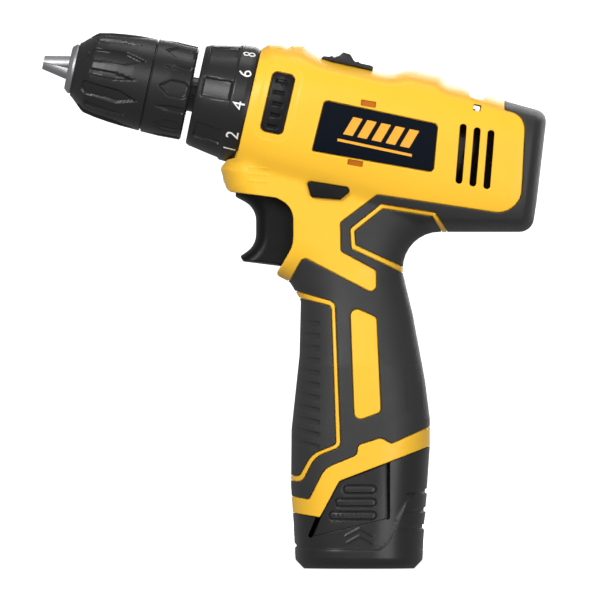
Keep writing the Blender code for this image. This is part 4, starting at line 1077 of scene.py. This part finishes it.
collar_profile = finely(
    [(-2.6, 13.6), (-2.6, 18.2), (-3.0, 18.7), (-5.2, 19.7), (-15.6, 21.6), (-16.2, 22.0),
     (-20.8, 22.3), (-22.4, 22.1), (-23.1, 21.6), (-23.1, 18.0)]
)
mesh = turned("clutch_ring_grip", collar_profile, 288, collar_relief)
add_piece("clutch_ring_grip", mesh, black_plastic, "clutch_ring", ["clutch_collar"])

DIGITS = {"1": -52, "2": -34, "4": -3, "6": 30, "8": 57, "10": 84, "12": 112, "14": 140, "16": 168}
DIGIT_HEIGHT = 4.9
DIGIT_MIDDLE = -19.5  # along the axis
rim_of = sorted((-along, radius) for along, radius in collar_profile if -22.5 < along < -15.7)


def digit_mesh(text, angle):
    """A number laid on the clutch ring; angle is up from the drill's left side."""
    curve = bpy.data.curves.new(f"digit_{text}", "FONT")
    curve.body = text
    curve.size = DIGIT_HEIGHT * 1.38  # the font's digits are shorter than its size
    curve.align_x = "CENTER"
    curve.align_y = "CENTER"
    curve.resolution_u = 4
    curve.extrude = 0.05
    holder = bpy.data.objects.new(f"digit_{text}", curve)
    bpy.context.scene.collection.objects.link(holder)
    bpy.context.view_layer.update()
    graph = bpy.context.evaluated_depsgraph_get()
    mesh = bpy.data.meshes.new_from_object(holder.evaluated_get(graph))
    bpy.data.objects.remove(holder)
    for vertex in mesh.vertices:
        x, y, z = vertex.co
        along = y + DIGIT_MIDDLE
        radius = float(np.interp(-along, *zip(*rim_of))) + 0.08 + z
        turn = math.radians(angle + 1) + x / RIM_RADIUS
        spot = on_axis(radius * math.sin(turn), -radius * math.cos(turn), along)
        vertex.co = spot * MM
    return mesh


for text, angle in DIGITS.items():
    add_piece(f"digit_{text}", digit_mesh(text, angle), white_ink, "clutch_ring")
print(len(DIGITS), "numbers on the clutch ring")

# %% [markdown]
# The three jaws are ground steel pins that lean in to meet at the tip. Each is a rod
# intersected with its own third of a circle, so that the closed jaws meet along flat
# faces with a fine gap between. A Boolean does this exactly.

# %% Jaws
JAW_LEAN = math.acos(abs(Vector(joints["jaw_1_slide"]["axis"]).dot(forward)))
JAW_RADIUS, JAW_LENGTH, JAW_TIP, JAW_APEX = 2.9, 31.0, 55.8, 53.74
to_world = Matrix.Translation(chuck_rear) @ Matrix((
    (upward.x, 0, forward.x, 0), (0, 1, 0, 0), (upward.z, 0, forward.z, 0), (0, 0, 0, 1)
))


def scratch(name, shape):
    """A working object from a bmesh whose points are in mm."""
    bmesh.ops.scale(shape, vec=(MM, MM, MM), verts=shape.verts)
    bmesh.ops.recalc_face_normals(shape, faces=shape.faces)
    mesh = bpy.data.meshes.new(name)
    shape.to_mesh(mesh)
    shape.free()
    holder = bpy.data.objects.new(name, mesh)
    bpy.context.scene.collection.objects.link(holder)
    return holder


def jaw_mesh(index):
    """A jaw: a long rod, cut off at the tip and along the two planes that it shares."""
    around = math.radians(90 + 120 * index)
    rod = bmesh.new()
    bmesh.ops.create_cone(
        rod, cap_ends=True, segments=56, radius1=JAW_RADIUS, radius2=JAW_RADIUS, depth=JAW_LENGTH
    )
    front = (JAW_TIP - JAW_APEX) / math.cos(JAW_LEAN) + 3
    lean = Matrix.Rotation(-JAW_LEAN, 4, "Y") @ Matrix.Translation((0, 0, front - JAW_LENGTH / 2))
    place = Matrix.Rotation(around, 4, "Z") @ Matrix.Translation((0, 0, JAW_APEX)) @ lean
    bmesh.ops.transform(rod, matrix=to_world @ place, verts=rod.verts)
    rod = scratch("jaw_rod", rod)
    wedge = bmesh.new()
    gap, far = 0.14, 40.0
    thirds = (-math.pi / 3, math.pi / 3)
    corners = [(gap, 0.0)] + [(gap + far * math.cos(a), far * math.sin(a)) for a in thirds]
    base = [wedge.verts.new((x, y, 20.0)) for x, y in corners]
    top = [wedge.verts.new((x, y, JAW_TIP)) for x, y in corners]
    wedge.faces.new(base)
    wedge.faces.new(top)
    for i in range(3):
        j = (i + 1) % 3
        wedge.faces.new((base[i], base[j], top[j], top[i]))
    bmesh.ops.transform(wedge, matrix=to_world @ Matrix.Rotation(around, 4, "Z"), verts=wedge.verts)
    wedge = scratch("jaw_wedge", wedge)
    meet = rod.modifiers.new("meet", "BOOLEAN")
    meet.operation = "INTERSECT"
    meet.object = wedge
    bpy.context.view_layer.update()
    graph = bpy.context.evaluated_depsgraph_get()
    mesh = bpy.data.meshes.new_from_object(rod.evaluated_get(graph))
    for holder in (rod, wedge):
        bpy.data.objects.remove(holder)
    mesh.shade_smooth()
    mesh.set_sharp_from_angle(angle=math.radians(30))
    return mesh


for k in range(3):
    name = f"jaw_{k + 1}_ground"
    add_piece(name, jaw_mesh(k), bright_steel, f"jaw_{k + 1}", [f"chuck_jaw_{k + 1}"])
print("the jaws lean", round(math.degrees(JAW_LEAN), 1), "degrees")

# %% [markdown]
# The trigger is a hollowed black moulding with a finger curve. It is a height field of its
# own: wide rounding along the curve that the finger pulls, and a small one elsewhere.

# %% Trigger
TRIGGER = [
    (-46.2, 142.2, 0.6), (-46.3, 139.2, 0.8), (-38.6, 135.0, 8.0), (-38.6, 121.0, 8.0),
    (-44.6, 116.9, 0.9), (-43.4, 114.9, 0.9), (-28.2, 113.0, 0.0), (-20.0, 116.4, 1.0),
    (-20.0, 138.4, 1.0),
]
trigger_loop = drawn(TRIGGER, 0.6)
finger_curve = drawn(TRIGGER[1:5] + [(-90.0, 116.9, 0.0), (-90.0, 138.8, 0.0)], 0.6)
TRIGGER_HALF_WIDTH = 9.2


def trigger_width(points):
    """Half the trigger's width at points of the side view."""
    finger_edge = roll(near(points, finger_curve), 5.5, 2.4)
    other_edge = roll(near(points, trigger_loop), 1.1, 2.2)
    return TRIGGER_HALF_WIDTH * np.minimum(finger_edge, other_edge)


def no_drop(points):
    return np.zeros(len(points))


def whole(name, loop, width, spacing, relief):
    """Both sides of a small moulding, sewn along the middle plane."""
    shape = bmesh.new()
    for side in (-1, 1):
        half = skin_mesh(name, [loop], [], relief, width, side, 0.3, spacing, rim=0)
        shape.from_mesh(half)
        bpy.data.meshes.remove(half)
    bmesh.ops.remove_doubles(shape, verts=shape.verts, dist=0.0001)
    mesh = bpy.data.meshes.new(name)
    shape.to_mesh(mesh)
    shape.free()
    mesh.shade_smooth()
    mesh.set_sharp_from_angle(angle=math.radians(60))
    return mesh


edge_rows = beside(trigger_loop, (0.08, 0.25, 0.5, 0.8, 1.2, 1.8, 2.6, 3.6, 4.8))
mesh = whole("trigger_moulding", trigger_loop, trigger_width, 1.2, [(no_drop, edge_rows)])
add_piece("trigger_moulding", mesh, dark_plastic, "trigger", ["trigger"])
print("the trigger is", 2 * TRIGGER_HALF_WIDTH, "mm wide")

# %% [markdown]
# Buttons and slides are small extrusions with softened edges. bmesh extrudes a flat
# outline, and its bevel rounds every edge at once.

# %% Buttons and slides
def softened_bar(name, outline, reach, bevel, segments=3):
    """A bar: the outline's points in mm, swept by the vector reach, its edges rounded."""
    shape = bmesh.new()
    base = [shape.verts.new(p) for p in outline]
    face = shape.faces.new(base)
    swept = bmesh.ops.extrude_face_region(shape, geom=[face])
    new = [v for v in swept["geom"] if isinstance(v, bmesh.types.BMVert)]
    bmesh.ops.translate(shape, vec=reach, verts=new)
    bmesh.ops.recalc_face_normals(shape, faces=shape.faces)
    sharp = [e for e in shape.edges if e.calc_face_angle(0) > math.radians(25)]
    bmesh.ops.bevel(
        shape, geom=sharp, offset=bevel, segments=segments, profile=0.6, affect="EDGES",
        clamp_overlap=True,
    )
    bmesh.ops.scale(shape, vec=(MM, MM, MM), verts=shape.verts)
    mesh = bpy.data.meshes.new(name)
    shape.to_mesh(mesh)
    shape.free()
    mesh.shade_smooth()
    mesh.set_sharp_from_angle(angle=math.radians(50))
    return mesh


lever_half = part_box("direction_lever")[1][1] / MM
lever_outline = [Vector((x, -lever_half, z)) for x, z in drawn(LEVER, 5.0)]
mesh = softened_bar("direction_button", lever_outline, (0, 2 * lever_half, 0), 0.35)
add_piece("direction_button", mesh, dark_plastic, "direction_lever", ["direction_lever"])

COLLAR_HALF = 12.0
collar = [Vector((x, -COLLAR_HALF, z)) for x, z in drawn(shrink(LEVER, -0.9), 5.0)]
mesh = softened_bar("direction_button_collar", collar, (0, 2 * COLLAR_HALF, 0), 0.3)
add_piece("direction_button_collar", mesh, dark_plastic, "direction_lever")

SLIDE_HALF = 8.0
ridge = [  # up, along
    (22.7, -65.6), (23.9, -65.6), (24.3, -64.8), (24.3, -60.4), (24.9, -59.6), (24.3, -58.8),
    (24.9, -57.9), (26.8, -56.2), (27.0, -53.4), (25.4, -52.2), (24.9, -51.2), (24.3, -50.4),
    (24.9, -49.6), (24.3, -48.8), (24.1, -46.6), (23.5, -45.9), (22.7, -45.9),
]
slide_outline = [on_axis(up, -SLIDE_HALF, along) for up, along in ridge]
mesh = softened_bar("speed_slide", slide_outline, (0, 2 * SLIDE_HALF, 0), 0.3, 2)
add_piece("speed_slide", mesh, black_plastic, "speed_slide", ["speed_selector"])
print("the direction button is", round(2 * lever_half, 1), "mm long")

# %% [markdown]
# A few hidden pieces stop daylight from showing through the finest gaps. Behind the vents a
# black plate stands between the motor's two leads, and its black is painted shade for the
# dark inside of the vents. A seal closes the motor's rear end, and two tongues on the
# battery slide up inside the handle, one in front and one behind.

# %% Plates, seal and tongues
# the plate is black as painted shade for the inside of the vents, besides stopping daylight
divider = [  # up, along
    (-19, -110.9), (-5, -110.9), (-5, -112.9), (5, -112.9), (5, -110.9), (14.5, -110.9),
    (14.5, -124.5), (-19, -124.5),
]
divider_outline = [on_axis(up, -1.0, along) for up, along in divider]
mesh = softened_bar("vent_shade_plate", divider_outline, (0, 2.0, 0), 0.1, 2)
add_piece("vent_shade_plate", mesh, black_plastic, "body")
seal = [(-104.4, 14.9), (-104.4, 16.5), (-106.4, 16.5), (-106.4, 14.9), (-104.4, 14.9)]
add_piece("motor_seal", turned("motor_seal", seal, 60), black_plastic, "body")
TONGUE_HALF = 5.0
tongues = {
    "rear_tongue": [(17.0, 36.0), (24.4, 36.0), (24.4, 46.4), (17.0, 43.6)],
    "front_tongue": [(-22.2, 13.0), (-17.0, 13.0), (-17.0, 22.4), (-22.2, 22.4)],
}
for name, corners in tongues.items():
    foot = [Vector((x, -TONGUE_HALF, z)) for x, z in corners]
    mesh = softened_bar(name, foot, (0, 2 * TONGUE_HALF, 0), 0.3, 2)
    add_piece(name, mesh, battery_plastic, "battery")

print("the seal is", 2 * seal[1][1], "mm across")

# %% [markdown]
# A small clear lens at the nose lets out the light for the work. It is a dome on a short
# barrel, turned about its own axis, and it peeps out between the two halves.

# %% Work light
lens_low, lens_high = (np.array(c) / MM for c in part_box("led_lens"))
lens_middle = (lens_low + lens_high) / 2
LENS_RADIUS, LENS_DOME, LENS_LENGTH = 2.5, 1.6, 5.0
lens_tip, lens_height = lens_low[0] - 0.2, lens_middle[2] - 0.4
profile = [(LENS_LENGTH, LENS_RADIUS), (LENS_DOME, LENS_RADIUS)]
profile += [
    (LENS_DOME * (1 - math.sin(a)), LENS_RADIUS * math.cos(a)) for a in np.linspace(0.1, 1.5, 10)
]
rings = [
    [
        (lens_tip + along, radius * math.cos(a), lens_height + radius * math.sin(a))
        for a in np.linspace(0, 2 * math.pi, 40, endpoint=False)
    ]
    for along, radius in profile
]
mesh = stacked("work_light_lens", rings)
add_piece("work_light_lens", mesh, clear_lens, "body", ["led_lens"])
print("the lens is", 2 * LENS_RADIUS, "mm across")

# %% [markdown]
# The inner parts keep their CAD shapes. They show through the vents, the trigger's slot
# and the chuck's neck, so each takes a real finish too, chosen by its material slot.

# %% Finishes for the inner parts
by_slot = {
    "yellow_plastic": yellow_plastic, "soft_rubber": soft_rubber, "black_plastic": black_plastic,
    "grey_plastic": grey_plastic, "steel": steel, "bright_steel": bright_steel,
    "cell_wrap": cell_wrap, "label_film": label_film, "clear_lens": clear_lens,
    "red_wire": red_wire, "black_wire": black_wire,
}
slot_of = {part["node"]: part["material_slot"] for part in frame["record"]["subparts"]}
for name, node in frame["nodes"].items():
    material = dark_steel if name in ("output_spindle", "motor_can") else by_slot[slot_of[name]]
    for holder in node.material_slots:
        holder.material = material
print("finished", len(frame["nodes"]), "CAD parts")

# %% [markdown]
# A studio for a tool this size: a round pale room whose floor curves up into its wall, a
# soft key light from the upper left, a wider one from the right, a small one on top, one
# behind, and an even world. The room only serves as a backdrop, so it is left out of
# reflections and shadows. The camera stands far off with a long lens, level with the
# drill's middle.

# %% Studio
ROOM_RADIUS, COVE_RADIUS, ROOM_HEIGHT, ROOM_SIDES = 8.0, 1.0, 8.0, 64


def room_mesh():
    """A round room: a floor that curves up into a wall all the way round."""
    profile = [(0.4, 0.0), (ROOM_RADIUS - COVE_RADIUS, 0.0)]
    for k in range(1, 9):
        angle = math.radians(90 * k / 8)
        out, rise = COVE_RADIUS * math.sin(angle), COVE_RADIUS * (1 - math.cos(angle))
        profile.append((ROOM_RADIUS - COVE_RADIUS + out, rise))
    profile.append((ROOM_RADIUS, ROOM_HEIGHT))
    turns = np.linspace(0, 2 * math.pi, ROOM_SIDES, endpoint=False)
    points = [(r * math.cos(t), r * math.sin(t), z) for r, z in profile for t in turns]
    faces = [tuple(range(ROOM_SIDES))]
    for low in range(0, ROOM_SIDES * (len(profile) - 1), ROOM_SIDES):
        for i in range(ROOM_SIDES):
            j = (i + 1) % ROOM_SIDES
            faces.append((low + i, low + j, low + ROOM_SIDES + j, low + ROOM_SIDES + i))
    mesh = bpy.data.meshes.new("studio_room")
    mesh.from_pydata(points, [], faces)
    mesh.shade_smooth()
    return mesh


room = bpy.data.objects.new("studio_room", room_mesh())
bpy.context.scene.collection.objects.link(room)
glow = {"Emission_Color": (1, 1, 1, 1), "Emission_Strength": 1.0}
room.data.materials.append(finish("pale_floor", (0.9, 0.9, 0.9), 0.7, 5.0, 0.01, 0.005, **glow))
room.visible_glossy = False
room.visible_diffuse = False
room.visible_shadow = False

world = bpy.context.scene.world or bpy.data.worlds.new("studio")
bpy.context.scene.world = world
world.use_nodes = True
world.node_tree.nodes["Background"].inputs["Color"].default_value = (1, 1, 1, 1)
world.node_tree.nodes["Background"].inputs["Strength"].default_value = 0.34
bpy.context.scene.view_settings.view_transform = "Standard"


def soft_light(name, place, size, power):
    """A square light, size in metres, aimed at the drill's middle."""
    lamp = bpy.data.lights.new(name, "AREA")
    lamp.shape = "SQUARE"
    lamp.size = size
    lamp.energy = power
    holder = bpy.data.objects.new(name, lamp)
    bpy.context.scene.collection.objects.link(holder)
    holder.location = place
    aim = Vector((0, 0, 0.12)) - Vector(place)
    holder.rotation_euler = aim.to_track_quat("-Z", "Y").to_euler()


soft_light("key", (-0.5, -1.0, 0.7), 0.5, 11)
soft_light("fill", (0.75, -1.25, 0.1), 0.9, 9)
soft_light("top", (0.1, 0.1, 1.1), 0.4, 1.5)
soft_light("back", (0.3, 1.3, 0.5), 0.8, 9)

VIEW_WIDTH, DISTANCE = 0.222, 6.0  # metres
view_middle = Vector((-23.6, 0, 102.0)) * MM
camera_data = bpy.data.cameras.new("camera")
camera_data.sensor_width = 36.0
camera_data.lens = camera_data.sensor_width * DISTANCE / VIEW_WIDTH
camera = bpy.data.objects.new("camera", camera_data)
bpy.context.scene.collection.objects.link(camera)
camera.location = view_middle + Vector((0, -DISTANCE, 0))
camera.rotation_euler = (math.radians(90), 0, 0)
bpy.context.scene.camera = camera
print("the lens is", round(camera_data.lens), "mm")
